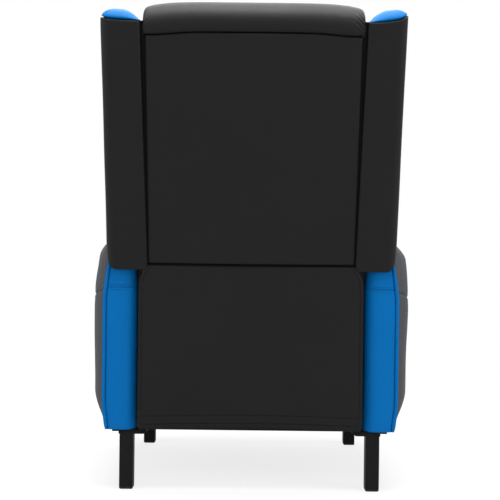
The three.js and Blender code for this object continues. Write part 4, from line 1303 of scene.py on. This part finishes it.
@dataclass
class Back:
    """The leaning back: its rear panel, and the cushion with the roll over the top."""

    finishes: Finishes
    frame: BackFrame = field(default_factory=BackFrame)
    rear: float = 0.057
    panel_half: float = 0.2200
    panel_widening: float = 0.0012
    panel_foot: float = 0.1425
    panel_front: float = 0.0452
    panel_crown: float = 0.0035
    side_round: float = 0.0068
    foot_round: float = 0.0032
    head_round: float = 0.0045
    ripple: float = 0.0007
    unevenness: float = 0.0016
    puff: float = 0.0125
    roll_seam: float = 0.624
    roll_seam_drop: float = 0.0065
    roll_top: float = 0.683
    roll_half: float = 0.2262
    roll_corner_round: float = 0.017
    cushion_half: float = 0.2205
    cushion_rear: float = 0.0225
    cushion_front: float = -0.073
    cushion_foot: float = 0.027
    depth: float = 0.130
    gather_height: float = 0.655
    gather_pitch: float = 0.0105

    @staticmethod
    def shape_at(x: float) -> SideShape:
        """What is a side's own, at a place across the back."""
        return SHAPES[Side.LEFT if x > 0 else Side.RIGHT]

    def seam_drop(self, x: float) -> float:
        """How far the roll's seam droops towards its ends."""
        return self.roll_seam_drop * ease(abs(x), self.panel_half / 2, self.panel_half)

    def panel(self) -> None:
        """Models the smooth padded panel on the rear of the back."""
        half = self.panel_half
        edges = (0.0008, 0.002, 0.004, 0.0065, 0.0095, 0.013, 0.018)
        columns = spread(-half, half, 56, edges)
        rows = spread(self.panel_foot, self.roll_seam, 60, edges)

        def place(spot: Vector) -> Vector:
            """Places a point of the panel: its front is flat, and its rear is padded with rounded edges."""
            x, z = spot.x, spot.z
            rise = (z - self.panel_foot) / (self.roll_seam - self.panel_foot)
            z -= self.seam_drop(x) * ease(rise, 0.8, 1)
            wider = 1 + self.panel_widening / half * min(max(rise, 0.0), 1.0)
            if spot.y < 0.5:
                return self.frame.at(x * wider, self.panel_front, z)
            sides = rounded_fall(half - abs(x), self.side_round)
            foot = rounded_fall(z - self.panel_foot, self.foot_round)
            head = rounded_fall(self.roll_seam - self.seam_drop(x) - z, self.head_round)
            crown = self.panel_crown * (x / half) ** 2
            ripple = self.ripple * math.sin(x * 330 + 0.8 * math.sin(z * 9)) * ease(x, 0.10, 0.17) * ease(z, 0.2, 0.45)
            soft = waver(self.unevenness, x * 5.5, z * 3.2, 4.0)
            fullness = -sides - foot - head - crown + ripple + soft
            return self.frame.at(x * wider, max(self.rear - 0.001 + fullness, self.panel_front + 0.0006), z)

        piece = Workshop.block("back_rear_skin", columns, (0, 1), rows, place)
        fit_out(piece, self.finishes.black, "backrest", ["back_rear_panel"])

    def outline(self) -> list[Flat]:
        """The cushion's side outline as (y, z): three puffs in front and the roll over the top.

        Returns:
            Points round the outline, closer together at the gathers.
        """
        seams = (0.07, 0.36, 0.68, 0.955)
        front, foot, corner = self.cushion_front + 0.009, self.cushion_foot, 0.016
        centre = Vector((front + corner, foot + corner))
        points = [centre + ray(-math.pi / 2 * (1 + share)) * corner for share in shares(5)]
        for low, high in zip(seams, seams[1:]):
            for share in shares(14)[1:]:
                swell = self.puff * math.sin(math.pi * share) ** 0.62
                points.append(Vector((front - swell, foot + (self.roll_seam - foot) * mix(low, high, share))))
        half_depth, lip = self.depth / 2, 0.006
        middle = self.rear - half_depth
        for share in shares(96):
            angle = math.pi * (1 - share)
            up = abs(math.sin(angle)) ** 0.72
            along = math.copysign(abs(math.cos(angle)) ** 0.94, math.cos(angle))
            points.append(Vector((middle + half_depth * along, mix(self.roll_seam + lip, self.roll_top, up))))
        points += [
            Vector((self.rear - 0.0022, self.roll_seam + 0.0022)),
            Vector((self.rear - 0.007, self.roll_seam + 0.0006)),
            Vector((self.panel_front - 0.004, self.roll_seam + 0.0006)),
            Vector((self.cushion_rear, self.roll_seam - 0.006)),
            Vector((self.cushion_rear, self.cushion_foot)),
        ]

        def closeness(spot: Vector) -> float:
            """Asks for more points round the roll's rear, where the gathers are."""
            return 4.0 if spot.x > middle and spot.y > self.roll_seam - 0.002 else 1.0

        return even_points(points, 176, closed=True, weight=closeness)

    def gather(self, x: float, z: float, end: float) -> float:
        """How deep the gathers beside the roll's ends draw its fabric in.

        Args:
            x: The place across the back.
            z: The height in the back's own frame.
            end: The distance from the roll's end.

        Returns:
            The depth of the crease there.
        """
        crease = (0.5 + 0.5 * math.cos((z - end - self.gather_height) * math.tau / self.gather_pitch)) ** 2
        return self.shape_at(x).gather * crease * hump(end, 0.010, 0.011) * hump(z, self.gather_height, 0.019)

    def cushion(self) -> None:
        """Models the cushion, drawn in round its ends, with gathers at the roll's corners."""
        outline = self.outline()
        fall = (
            (0, 0.0185), (0.002, 0.0142), (0.004, 0.0118), (0.008, 0.0099), (0.012, 0.0086), (0.02, 0.0068),
            (0.033, 0.0046), (0.053, 0.0023), (0.084, 0.0006), (0.12, 0.0),
        )
        from_end = (
            0, 0.0008, 0.002, 0.004, 0.0055, 0.007, 0.009, 0.011, 0.0135, 0.016,
            0.019, 0.023, 0.032, 0.045, 0.062, 0.084, 0.11, 0.14, 0.17, 0.2,
        )
        out = [1 - distance / self.roll_half for distance in from_end]
        stations = out + [0.0] + [-share for share in reversed(out)]
        middle = self.rear - self.depth / 2

        def place(k: int, ring: int) -> Vector:
            """Places a point of the outline, drawn in towards the cushion's ends."""
            y, z = outline[k]
            share = stations[ring]
            high = ease(z, self.roll_seam - 0.03, self.roll_seam)
            x = share * mix(self.cushion_half, self.roll_half, high)
            end = (1 - abs(share)) * self.roll_half
            drop = read(fall, end)
            up = ease(z, self.roll_seam, self.roll_top)
            if y > middle:
                y -= drop * 0.3 * high * ease(y, middle, self.rear)
            else:
                y += drop * ease(middle - y, 0.0, self.depth / 2)
            if high > 0.5 and y > middle:
                corner = self.shape_at(x).roll_corner * ease(y, middle, self.rear - 0.02)
                round_in = rounded_fall(z - self.roll_seam, self.roll_corner_round)
                x *= 1 - corner * round_in / self.roll_corner_round / self.roll_half
                y -= self.gather(x, z, end)
            z -= drop * up + self.seam_drop(x) * high * (1 - up)
            low = 1 - ease(z, self.cushion_foot, self.cushion_foot + 0.02)
            z += 0.2 * drop * low
            return self.frame.at(x, y, z)

        piece = Workshop.loft("back_pad", len(outline), len(stations), place)
        Workshop.refined(piece)
        fit_out(piece, self.finishes.black, "backrest", ["back_cushion"], sharp=70)

    def build(self) -> None:
        """Builds the panel and the cushion."""
        self.panel()
        self.cushion()


@dataclass
class Wing:
    """One side wing of the back: a blue pad inside, and a black cover round its rear and outer side."""

    side: Side
    finishes: Finishes
    frame: BackFrame = field(default_factory=BackFrame)
    rear: float = 0.057
    outer_low: float = 0.3075
    outer_high: float = 0.312
    inner_low: float = 0.2243
    inner_high: float = 0.2302
    foot: float = 0.1275
    skin: float = 0.0107
    corner: float = 0.019
    nose: float = 0.027
    nose_ahead: float = 0.101
    skin_ahead: float = 0.076
    arm_centre: Flat = (-0.0600, 0.0806)  # the arm's rounded shoulder, in the back's frame
    arm_radius: float = 0.1262
    edge_round: float = 0.0055
    foot_drawn: float = 0.9
    top_drawn: float = 0.55
    unevenness: float = 0.0012
    puff: float = 0.0022
    fold: float = 0.0018  # the thickness of the cover's folded edge
    foot_fold: float = 0.0050  # how far the foot is wrapped towards the back
    fold_foot: float = 0.112
    lens: Table = ((0, 0.0), (0.06, 0.25), (0.14, 0.5), (0.3, 0.83), (0.52, 1.0), (0.78, 0.98), (0.92, 0.84), (1, 0.6))
    panel_half: float = 0.2172
    roll_half: float = 0.2232
    roll_seam: float = 0.622
    top: float = field(init=False)
    top_fall: float = field(init=False)
    crown: float = field(init=False)

    def __post_init__(self) -> None:
        """Takes up what is this side's own."""
        shape = SHAPES[self.side]
        self.top, self.top_fall, self.crown = shape.wing_top, shape.wing_fall, shape.wing_crown

    def length(self) -> float:
        """The wing's height along the lean."""
        return self.top - self.foot

    def edges(self, rise: float) -> Flat:
        """The inner and outer x at a share of the wing's height."""
        return mix(self.inner_low, self.inner_high, rise), mix(self.outer_low, self.outer_high, rise)

    def foot_at(self, y: float, x: float, outer: float) -> float:
        """The height of the wing's underside: it follows the arm's rounded shoulder.

        Args:
            y: The point's depth.
            x: Its distance out from the middle.
            outer: The wing's outer face.

        Returns:
            The height along the lean.
        """
        off = y - self.arm_centre[0]
        arch = self.arm_centre[1] + math.sqrt(max(self.arm_radius**2 - off**2, 0.0))
        corner = 0.005 * rounded_fall(outer - x, 0.009) / 0.009 * ease(y, 0.0, 0.03)
        return max(arch, self.foot) + corner

    def top_at(self, x: float, inner: float, outer: float) -> float:
        """The height of the cover's top edge: it falls towards the back's middle."""
        across = (outer - x) / (outer - inner)
        return self.top - self.top_fall * read(((0, 0), (0.12, 0.42), (0.4, 0.8), (0.8, 1), (1, 1)), across)

    def cover_section(self, inner: float, outer: float) -> list[Flat]:
        """The black cover's section: round the rear and the outer side, with rounded edges.

        Args:
            inner: The cover's inner edge.
            outer: The wing's outer face.

        Returns:
            The points round the section.
        """
        half = self.skin / 2
        turn = self.corner - half
        centre = Vector((outer - self.corner, self.rear - self.corner))
        middle = [Vector((mix(inner + half, centre.x, share), self.rear - half)) for share in shares(10)[:-1]]
        middle += [centre + ray(math.pi / 2 * (1 - share)) * turn for share in shares(8)]
        last = self.rear - self.skin_ahead + half
        middle += [Vector((outer - half, mix(centre.y, last, share))) for share in shares(7)[1:]]
        outside, inside = [], []
        for k, spot in enumerate(middle):
            ahead = (middle[min(k + 1, len(middle) - 1)] - middle[max(k - 1, 0)]).normalized()
            away = Vector((-ahead.y, ahead.x))
            outside.append(spot + away * half)
            inside.append(spot - away * half)
        cap_start = [middle[0] - ray(-a) * half for a in (-0.9, -0.45, 0.0, 0.45, 0.9)]
        cap_stop = [middle[-1] + ray(-a) * half for a in (0.65, 1.1, 1.57, 2.04, 2.5)]
        ring = outside + cap_stop + inside[::-1] + cap_start
        return [(spot.x, spot.y) for spot in ring]

    def cover(self) -> None:
        """Models the black cover."""
        sides, length = 60, self.length()
        travels = [t / length for t in spread(0, length, 52, (0.001, 0.0025, 0.0045, 0.0075, 0.012))]
        sections = []
        for rise in travels:
            inner, outer = self.edges(rise)
            folded = inner - self.foot_fold * (1 - rise)
            sections.append(even_points([Vector(p) for p in self.cover_section(folded, outer)], sides, closed=True))

        def place(k: int, ring: int) -> Vector:
            """Places a point of the section, with rounded top and bottom edges and a soft surface."""
            rise = travels[ring]
            inner, outer = self.edges(rise)
            x, y = sections[ring][k]
            z = mix(self.foot_at(y, x, outer), self.top_at(x, inner, outer), rise)
            soft = waver(self.unevenness, x * 14 * self.side.sign, z * 6, 2.0 + y * 5)
            from_end = min(rise, 1 - rise) * length
            drawn = rounded_fall(from_end, self.edge_round) * (self.foot_drawn if rise < 0.5 else self.top_drawn)
            middle_y = self.rear - self.skin / 2
            if y > self.rear - self.corner:
                y += (middle_y - y) * drawn / self.skin
                y += soft * ease(y, middle_y, self.rear) * ease(from_end, 0, 0.03)
            if x > outer - self.skin:
                x += (outer - self.skin / 2 - x) * drawn / self.skin
                x += soft * ease(x, outer - self.skin / 2, outer) * ease(from_end, 0, 0.03)
            return self.frame.at(self.side.sign * x, y, z)

        piece = Workshop.loft(f"wing_skin_{self.side.word}", sides, len(travels), place)
        Workshop.refined(piece)
        fit_out(piece, self.finishes.black, "backrest", [f"wing_cover_{self.side.word}"])

    def pad_knots(self, inner: float, outer: float) -> list[Flat]:
        """The blue pad's section: against the cover, round the nose, and along its hollow inner face.

        Args:
            inner: The pad's inner edge.
            outer: The wing's outer face.

        Returns:
            The points round the section.
        """
        seam = self.rear - self.skin - 0.0006
        ahead = self.rear - self.skin_ahead
        centre = Vector((outer - self.nose, self.rear - self.nose_ahead))
        points = [
            Vector((inner + 0.001, seam)), Vector((mix(inner, outer, 0.5), seam)),
            Vector((outer - self.corner, seam)), Vector((outer - self.skin - 0.003, seam - 0.004)),
            Vector((outer - self.skin - 0.0006, self.rear - self.corner)),
            Vector((outer - self.skin - 0.0006, ahead + 0.006)), Vector((outer - self.skin * 0.7, ahead - 0.001)),
            Vector((outer - 0.0012, ahead - 0.006)),
        ]
        points += [centre + ray(-math.radians(turn)) * self.nose for turn in range(0, 136, 15)]
        for across, share in ((0.52, 0.82), (0.3, 0.62), (0.13, 0.42), (0.05, 0.24)):
            points.append(Vector((mix(inner, outer - self.nose, across), self.rear - self.nose_ahead * share)))
        points.append(Vector((inner, self.rear - self.skin - 0.006)))
        return [(p.x, p.y) for p in points]

    def pad(self) -> None:
        """Models the blue pad, with its raised crown above the cover's top edge."""
        sides, length = 72, self.length()
        body = [t / length for t in spread(0, length, 48, (0.0015, 0.004, 0.008, 0.014))]
        crown = (
            (0.0, 0.06, 0.1), (0.0, 0.15, 1.0), (0.02, 0.3, 1.0), (0.06, 0.46, 1.0), (0.12, 0.62, 1.0),
            (0.2, 0.76, 1.0), (0.3, 0.87, 1.0), (0.45, 0.95, 1.0), (0.65, 0.99, 1.0), (0.85, 1.0, 1.0),
        )  # inward, up and widened, as shares, from the cover's edge to the crown's middle
        rings = [
            even_points([Vector(p) for p in self.pad_knots(*self.edges(rise))], sides, closed=True) for rise in body
        ]
        inner, outer = self.edges(1.0)
        plan = rings[-1]
        centre = Vector((sum(p[0] for p in plan), sum(p[1] for p in plan))) / len(plan)

        def full(x: float, y: float) -> Flat:
            """Widens the crown out to the cover's outer faces."""
            wide = ease(y, self.rear - self.skin_ahead - 0.012, self.rear - self.skin_ahead + 0.006)
            x = x + self.skin * 0.92 * ease(x, outer - self.skin - 0.012, outer - self.skin - 0.001) * wide
            y = y + self.skin * 0.86 * ease(y, self.rear - self.skin - 0.01, self.rear - self.skin)
            return x, y

        def place(k: int, ring: int) -> Vector:
            """Places a point of the pad's body, or of the crown above it."""
            if ring < len(body):
                rise = body[ring]
                x, y = rings[ring][k]
                low, high = self.edges(rise)
                drawn = rounded_fall(rise * length, 0.007) * 0.4
                x += (centre.x - x) * drawn / 0.04
                z = mix(self.foot_at(y, x, high), self.top_at(x, low, high) + 0.0004, rise)
                puff = self.puff * math.sin(math.pi * min(max(rise, 0), 1)) ** 0.5
                if x < mix(low, high, 0.55) and y < self.rear - self.skin - 0.006:
                    x -= puff * 0.5
                return self.frame.at(self.side.sign * x, y, z)
            inward, up, wide = crown[ring - len(body)]
            spot = Vector(plan[k]).lerp(Vector(full(*plan[k])), wide).lerp(centre, inward)
            lens = read(self.lens, (spot.x - inner) / (outer - inner))
            z = self.top_at(spot.x, inner, outer) + self.crown * up * lens
            return self.frame.at(self.side.sign * spot.x, spot.y, z)

        piece = Workshop.loft(f"wing_pad_blue_{self.side.word}", sides, len(body) + len(crown), place)
        Workshop.refined(piece)
        fit_out(
            piece, self.finishes.blue, "backrest", [f"wing_pad_{self.side.word}"], sharp=70
        )

    def groove(self) -> None:
        """Models the cover's edge, folded in towards the back, that closes the groove beside it, in a darker black
        that is painted shade.
        """
        rows = spread(self.fold_foot, self.top - self.top_fall + 0.001, 40, (0.002, 0.006))

        def place(spot: Vector) -> Vector:
            """Places a point of the fold, which sags a little between its edges."""
            rise = (spot.z - self.foot) / self.length()
            inner = self.edges(rise)[0]
            reach = mix(self.panel_half, self.roll_half, ease(spot.z, self.roll_seam - 0.004, self.roll_seam))
            x = mix(reach, inner + 0.0035, spot.x)
            sag = 0.0012 * math.sin(math.pi * spot.x) + waver(0.0008, x * 20, spot.z * 9, 3.0)
            y = self.rear - self.skin + 0.0006 + (self.fold if spot.y > 0.5 else 0.0) + max(sag, 0.0)
            return self.frame.at(self.side.sign * x, y, spot.z)

        piece = Workshop.block(f"wing_groove_{self.side.word}", shares(5), (0, 1), rows, place)
        # Finished darker than the cover's black: painted shade in the groove.
        fit_out(piece, self.finishes.shade, "backrest")

    def build(self) -> None:
        """Builds the wing."""
        self.cover()
        self.pad()
        self.groove()


# The lower cover


@dataclass
class LowerCover:
    """The loose cloth that hangs from the seam under the back's rear panel."""

    finishes: Finishes
    top: float = 0.4852
    foot: float = 0.129
    y: float = 0.2652
    half: float = 0.2385
    thickness: float = 0.0018
    arch: float = 0.0055  # how far the hem's middle is lifted
    hem: float = 0.0295
    side_hem: float = 0.0069  # the width of the turned edge at each side
    hem_proud: float = 0.0011
    upper_row: float = 0.0285
    lower_row: float = 0.0108
    pressed_edge: float = 0.0052
    tuck: float = 0.0052  # how far the top edge goes in under the welt
    billow: float = 0.0032
    slow_folds: float = 0.0012
    hem_wave: float = 0.0016
    corner_foot: float = 0.009

    def outline(self, z: float) -> float:
        """Half the cloth's width at a height: its top corners are cut away.

        Args:
            z: The height.

        Returns:
            The half width.
        """
        corner = (
            (0, 0.0325), (0.004, 0.024), (0.0106, 0.0172), (0.021, 0.0098), (0.032, 0.004), (0.042, 0.001), (0.055, 0)
        )
        return self.half - read(corner, self.top - z) - rounded_fall(z - self.foot, self.corner_foot)

    def sag(self, x: float, z: float) -> float:
        """How far the cloth billows to the rear of its plane.

        Args:
            x: The place across.
            z: The height.

        Returns:
            The distance, which can be negative.
        """
        below = self.top - z
        billow = self.billow * math.sin(math.pi * min(below / 0.36, 1.0)) * (1 - (x / self.half) ** 4)
        folds = waver(self.slow_folds, x * 7, z * 4.5, 7.0) * ease(below, 0.01, 0.08)
        wave = waver(self.hem_wave, x * 11, 0.3, 1.0) * (1 - ease(z, self.foot, self.foot + 0.09))
        return billow + (folds + wave) * (1 - ease(abs(x), 0.205, 0.230))

    def foot_at(self, x: float) -> float:
        """The height of the hem, which is a little arched."""
        return self.foot + self.arch * (1 - (x / self.half) ** 2) * 0.9

    def pressed(self, from_side: float, from_foot: float) -> float:
        """How deep the folds and the rows of stitches are pressed into the cloth."""
        rows = hump(from_foot, self.lower_row, 0.0011) + hump(from_foot, self.upper_row, 0.0011)
        folds = hump(from_side, self.side_hem + 0.0006, 0.0009) + hump(from_foot, self.pressed_edge, 0.0012)
        return 0.0005 * rows + 0.0008 * folds

    def cloth(self) -> None:
        """Models the cloth with its folded side and bottom hems."""
        columns = spread(-1, 1, 72, (0.002, 0.006, 0.012, 0.02, 0.0255, 0.0275, 0.029, 0.0305, 0.033, 0.038))
        lines = tuple(self.foot + rise for rise in (self.pressed_edge, self.lower_row, self.upper_row))
        rows = spread(self.foot, self.top, 64, (0.0006, 0.0014, 0.003, 0.006, 0.010), lines)

        def place(spot: Vector) -> Vector:
            """Places a point of the cloth, thicker at its hems and pressed in along its folds and seams."""
            share = (spot.z - self.foot) / (self.top - self.foot)
            half = self.outline(spot.z)
            x = spot.x * half
            z = mix(self.foot_at(x), self.top, share)
            from_side = half - abs(x)
            from_foot = z - self.foot_at(x)
            hemmed = max(
                1 - ease(from_side, self.side_hem - 0.0005, self.side_hem + 0.0005),
                1 - ease(from_foot, self.hem, self.hem + 0.0012),
            )
            edge = rounded_fall(min(from_side, from_foot), 0.0015) / 0.0015
            thick = (self.thickness + self.hem_proud * hemmed) * (1 - 0.75 * edge)
            y = self.y + self.sag(x, z) - thick / 2
            if spot.y > 0.5:
                y += thick - self.pressed(from_side, from_foot)
            tucked = ease(z, self.top - 0.0078, self.top - 0.0048)
            return Vector((x, y - self.tuck * tucked, z))

        piece = Workshop.block("lower_cover_cloth", columns, (0, 1), rows, place)
        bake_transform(piece)
        fit_out(piece, self.finishes.cloth, "", ["lower_back_cover"])

    def rows(self) -> None:
        """Sews the two rows of stitches along the bottom hem."""
        away = Vector((0, 1, 0))
        proud = (self.thickness + self.hem_proud) / 2 - 0.0003
        for name, rise in (("upper", self.upper_row), ("lower", self.lower_row)):
            path = []
            for x in (mix(-self.half + 0.008, self.half - 0.008, share) for share in shares(60)):
                z = self.foot_at(x) + rise
                path.append(Vector((x, self.y + self.sag(x, z) + proud, z)))
            row = Workshop.stitches(f"lower_cover_{name}_stitches", path, lambda _: away, 0.0058)
            fit_out(row, self.finishes.black_thread, "lower_cover")

    def welt(self) -> None:
        """Models a thin dark welt between the back's panel and the cover: its darker black is painted shade for the
        shadow line at the seam.
        """
        half, y, z = 0.2165, self.y - 0.0004, self.top - 0.0050
        path = [Vector((mix(-half, half, share), y, z)) for share in shares(60)]
        piece = Workshop.tube("lower_cover_painted_shade_welt", path, 0.0013, sides=8, ends=0.6)
        # Finished darker than the panel's black: painted shade along the seam.
        fit_out(piece, self.finishes.shade, "backrest", sharp=80)

    def build(self) -> None:
        """Builds the cover, its stitches and its welt."""
        self.cloth()
        self.rows()
        self.welt()


# The seat and the footrest


@dataclass
class Seat:
    """The seat cushion: a crowned pad with sewn channels and a rounded front."""

    finishes: Finishes
    half: float = 0.2345
    front: float = -0.3865
    rear: float = 0.1075
    low: float = 0.3768
    high: float = 0.4697
    swell: float = 0.006
    crown: float = 0.010
    belly: float = 0.004
    tuck: float = 0.003
    edge_round: float = 0.026
    front_round: float = 0.045
    channel_at: float = 0.1
    channel_half: float = 0.006
    channel_depth: float = 0.0065

    def build(self) -> None:
        """Builds the cushion."""
        half, front, rear = self.half - self.swell, self.front + self.swell, self.rear - self.swell
        top = self.high - self.swell - self.crown
        middle, half_depth = (front + rear) / 2, (rear - front) / 2
        columns = spread(-half, half, 40, (0.004, 0.01, 0.018, 0.028))
        depths = spread(front, rear, 42, (0.004, 0.01, 0.018, 0.028, 0.04))
        rows = spread(self.low, top, 8)

        def place(spot: Vector) -> Vector:
            """Places a point of the pad, with a crown on top, a belly at its sides and rounded edges."""
            x, y, z = spot
            share = (z - self.low) / (top - self.low)
            from_side, from_front, from_rear = half - abs(x), y - front, rear - y
            drop = rounded_fall(min(from_side, from_rear), self.edge_round)
            drop += 0.9 * rounded_fall(from_front, self.front_round)
            z = mix(self.low, top - min(drop, (top - self.low) * 0.55), share)
            z += self.crown * (1 - (x / half) ** 2) * (1 - ((y - middle) / half_depth) ** 4) * share
            out = self.belly * math.sin(math.pi * share) - self.tuck
            x += math.copysign(out, x) * ease(self.edge_round - from_side, 0, self.edge_round)
            y -= out * ease(self.edge_round - from_front, 0, self.edge_round)
            return Vector((x, y, z))

        piece = Workshop.block("seat_pad", columns, depths, rows, place)
        Workshop.inflated(piece, voxel=0.006, cap=0.007, tacked=self.low + 0.012)
        for vertex in piece.data.vertices:
            x, y, z = vertex.co
            z = max(min(z, self.high), self.low)
            channel = hump(abs(x), self.channel_at, self.channel_half) * ease(y, self.front, self.front + 0.05)
            channel *= ease(self.rear - y, 0.0, 0.04) * ease(z, self.low + 0.03, self.low + 0.06)
            z -= self.channel_depth * channel
            vertex.co = (max(min(x, self.half), -self.half), max(min(y, self.rear), self.front), z)
        Workshop.refined(piece)
        fit_out(piece, self.finishes.black, "seat", ["seat_cushion"], sharp=80)


@dataclass
class Footrest:
    """The pad on the footrest board, closed upright below the seat's front."""

    finishes: Finishes
    half: float = 0.2315
    low: float = 0.1385
    high: float = 0.3315
    back: float = -0.3319
    front: float = -0.3812
    edge_round: float = 0.024
    crown: float = 0.004
    channel_depth: float = 0.005

    def build(self) -> None:
        """Builds the pad."""
        edges = (0.003, 0.008, 0.015, 0.024)
        columns = spread(-self.half, self.half, 36, edges)
        rows = spread(self.low, self.high, 18, edges)

        def place(spot: Vector) -> Vector:
            """Places a point of the pad: its back lies on the board, and its face has one channel across."""
            x, y, z = spot
            if y > 0.5:
                return Vector((x, self.back, z))
            drop = rounded_fall(min(self.half - abs(x), z - self.low, self.high - z), self.edge_round)
            channel = self.channel_depth * hump(z, mix(self.low, self.high, 0.5), 0.004)
            return Vector((x, self.front + self.crown * (x / self.half) ** 2 + drop + channel, z))

        piece = Workshop.block("footrest_cushion", columns, (0, 1), rows, place)
        Workshop.refined(piece)
        for vertex in piece.data.vertices:
            vertex.co.y = max(vertex.co.y, self.front)
        fit_out(piece, self.finishes.black, "footrest", ["footrest_pad"], sharp=80)


class BareParts:
    """The model's own nodes that stay as they are and get their finishes."""

    paired: dict[str, tuple[str, ...]] = {
        "steel": ("rear_leg", "front_leg", "base_rail", "seat_plate", "back_bracket"),
        "plastic": ("rear_glide", "front_glide"),
        "zinc": (
            "front_swing_link", "rear_swing_link", "main_link", "cross_link", "extension_link", "footrest_bracket",
        ),
    }
    single: dict[str, tuple[str, ...]] = {
        "wire": tuple(f"seat_spring_{k}" for k in range(1, 5)),
        "zinc": ("footrest_cross_tube",),
        "steel": ("front_cross_tube", "rear_cross_tube", "seat_frame", "back_frame"),
        "cloth": ("footrest_board",),
    }

    def __init__(self, finishes: Finishes, nodes: dict[str, bpy.types.Object]) -> None:
        """Keeps the model's nodes, and the finish of each by its name.

        Args:
            finishes: The chair's finishes.
            nodes: The model's nodes, by name.
        """
        self.nodes = nodes
        named = [
            (finish, f"{name}_{side.word}") for finish, names in self.paired.items() for name in names for side in Side
        ]
        named += [(finish, name) for finish, names in self.single.items() for name in names]
        self.finish_of: dict[str, bpy.types.Material] = {name: getattr(finishes, finish) for finish, name in named}

    def build(self) -> None:
        """Gives each node its finish."""
        for name, finish in self.finish_of.items():
            node = self.nodes[name]
            node.data.materials.clear()
            node.data.materials.append(finish)
            LOG.info("%s: finished as %s", name, finish.name)


# The studio


@dataclass
class Studio:
    """A pale floor, soft light, and the camera behind the chair."""

    place: tuple[float, float, float] = (0.0032, 2.6242, 0.5216)
    pitch: float = math.radians(0.223)
    yaw: float = math.radians(0.003)
    roll: float = math.radians(0.649)
    lens: float = 80.2
    sensor: float = 36.0
    ambient: float = 0.5
    floor_size: float = 30.0
    floor_grey: float = 0.74
    floor_white: float = 0.8
    lamps: tuple[tuple[str, Colour, Colour, Flat, float], ...] = (
        ("overhead", (0, 0.3, 2.9), (0, 0.1, 0.6), (2.2, 2.2), 170),
        ("behind", (0.5, 3.2, 1.3), (0, 0.2, 0.5), (2.6, 2.0), 10),
        ("ahead", (-0.3, -2.6, 2.3), (0, 0, 0.7), (2.6, 1.8), 46),
        ("left", (2.3, 1.1, 1.1), (0, 0.2, 0.55), (1.4, 1.6), 17),
        ("right", (-2.2, 1.4, 1.3), (0, 0.2, 0.55), (1.4, 1.6), 24),
    )

    def camera(self) -> None:
        """Puts the camera where the photograph was taken from."""
        data = bpy.data.cameras.new("camera")
        data.lens = self.lens
        data.sensor_width = self.sensor
        camera = bpy.data.objects.new("camera", data)
        bpy.context.scene.collection.objects.link(camera)
        level = math.cos(self.pitch)
        ahead = Vector((math.sin(self.yaw) * level, -math.cos(self.yaw) * level, -math.sin(self.pitch)))
        right = ahead.cross(Vector((0, 0, 1))).normalized()
        up = right.cross(ahead)
        cosine, sine = math.cos(self.roll), math.sin(self.roll)
        right, up = right * cosine + up * sine, up * cosine - right * sine
        turned = Matrix((right, up, -ahead)).transposed().to_4x4()
        turned.translation = Vector(self.place)
        camera.matrix_world = turned
        bpy.context.scene.camera = camera

    @staticmethod
    def lamp(name: str, spot: Sequence[float], target: Sequence[float], size: Flat, power: float) -> None:
        """Hangs a soft square lamp that faces a target.

        Args:
            name: The lamp's name.
            spot: Where it hangs.
            target: What it faces.
            size: Its width and height.
            power: Its power in watts.
        """
        data = bpy.data.lights.new(name, "AREA")
        data.shape = "RECTANGLE"
        data.size, data.size_y = size
        data.energy = power
        lamp = bpy.data.objects.new(name, data)
        lamp.location = spot
        lamp.rotation_euler = (Vector(target) - Vector(spot)).to_track_quat("-Z", "Y").to_euler()
        bpy.context.scene.collection.objects.link(lamp)

    @staticmethod
    def seen_as_white(recipe: Recipe) -> Socket:
        """Adds a mask that is 1 for what the camera, a reflection or glass sees directly."""
        path = recipe.add("LightPath").outputs
        first = recipe.math("MAXIMUM", path["Is Camera Ray"], path["Is Glossy Ray"])
        return recipe.math("MAXIMUM", first, path["Is Transmission Ray"])

    def world(self) -> None:
        """Lights the scene softly from all round, on a white ground."""
        world = bpy.data.worlds.new("studio")
        world.use_nodes = True
        bpy.context.scene.world = world
        recipe = Recipe(world.node_tree)
        strength = recipe.math("MAXIMUM", self.seen_as_white(recipe), self.ambient)
        background = recipe.add("Background", Color=(1, 1, 1, 1), Strength=strength)
        recipe.add("OutputWorld", background.outputs[0])

    def floor(self) -> None:
        """Lays a pale floor that keeps the chair's shadow and is white further off."""
        Workshop.clear()
        bpy.ops.mesh.primitive_plane_add(size=self.floor_size, location=(0, 0, 0))
        floor = bpy.context.object
        floor.name = "floor"
        material = bpy.data.materials.new("pale floor")
        material.use_nodes = True
        recipe = Recipe(material.node_tree)
        length = recipe.add("VectorMath", recipe.add("TexCoord").outputs["Object"], operation="LENGTH")
        far = recipe.add(
            "MapRange", interpolation_type="SMOOTHSTEP", Value=length.outputs["Value"], From_Min=0.55, From_Max=1.6
        )
        lifted = recipe.math("MAXIMUM", far.outputs[0], self.floor_white)
        fade = recipe.math("MULTIPLY", lifted, self.seen_as_white(recipe))
        paint = recipe.add("BsdfDiffuse", Color=(*[self.floor_grey] * 3, 1))
        blend = recipe.add("MixShader", fade, paint.outputs[0], recipe.add("Emission").outputs[0])
        recipe.add("OutputMaterial", blend.outputs[0])
        floor.data.materials.append(material)

    def build(self) -> None:
        """Builds the whole studio."""
        self.world()
        self.floor()
        for lamp in self.lamps:
            self.lamp(*lamp)
        self.camera()
        bpy.context.scene.view_settings.view_transform = "Standard"


def main() -> None:
    """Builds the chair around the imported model."""
    logging.basicConfig(level=logging.INFO, format="%(message)s")
    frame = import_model()
    finishes = Finishes.build()
    for side in Side:
        Arm(side, finishes).build()
        Wing(side, finishes).build()
    Back(finishes).build()
    LowerCover(finishes).build()
    Seat(finishes).build()
    Footrest(finishes).build()
    BareParts(finishes, frame["nodes"]).build()
    Studio().build()


if __name__ == "__main__":
    main()
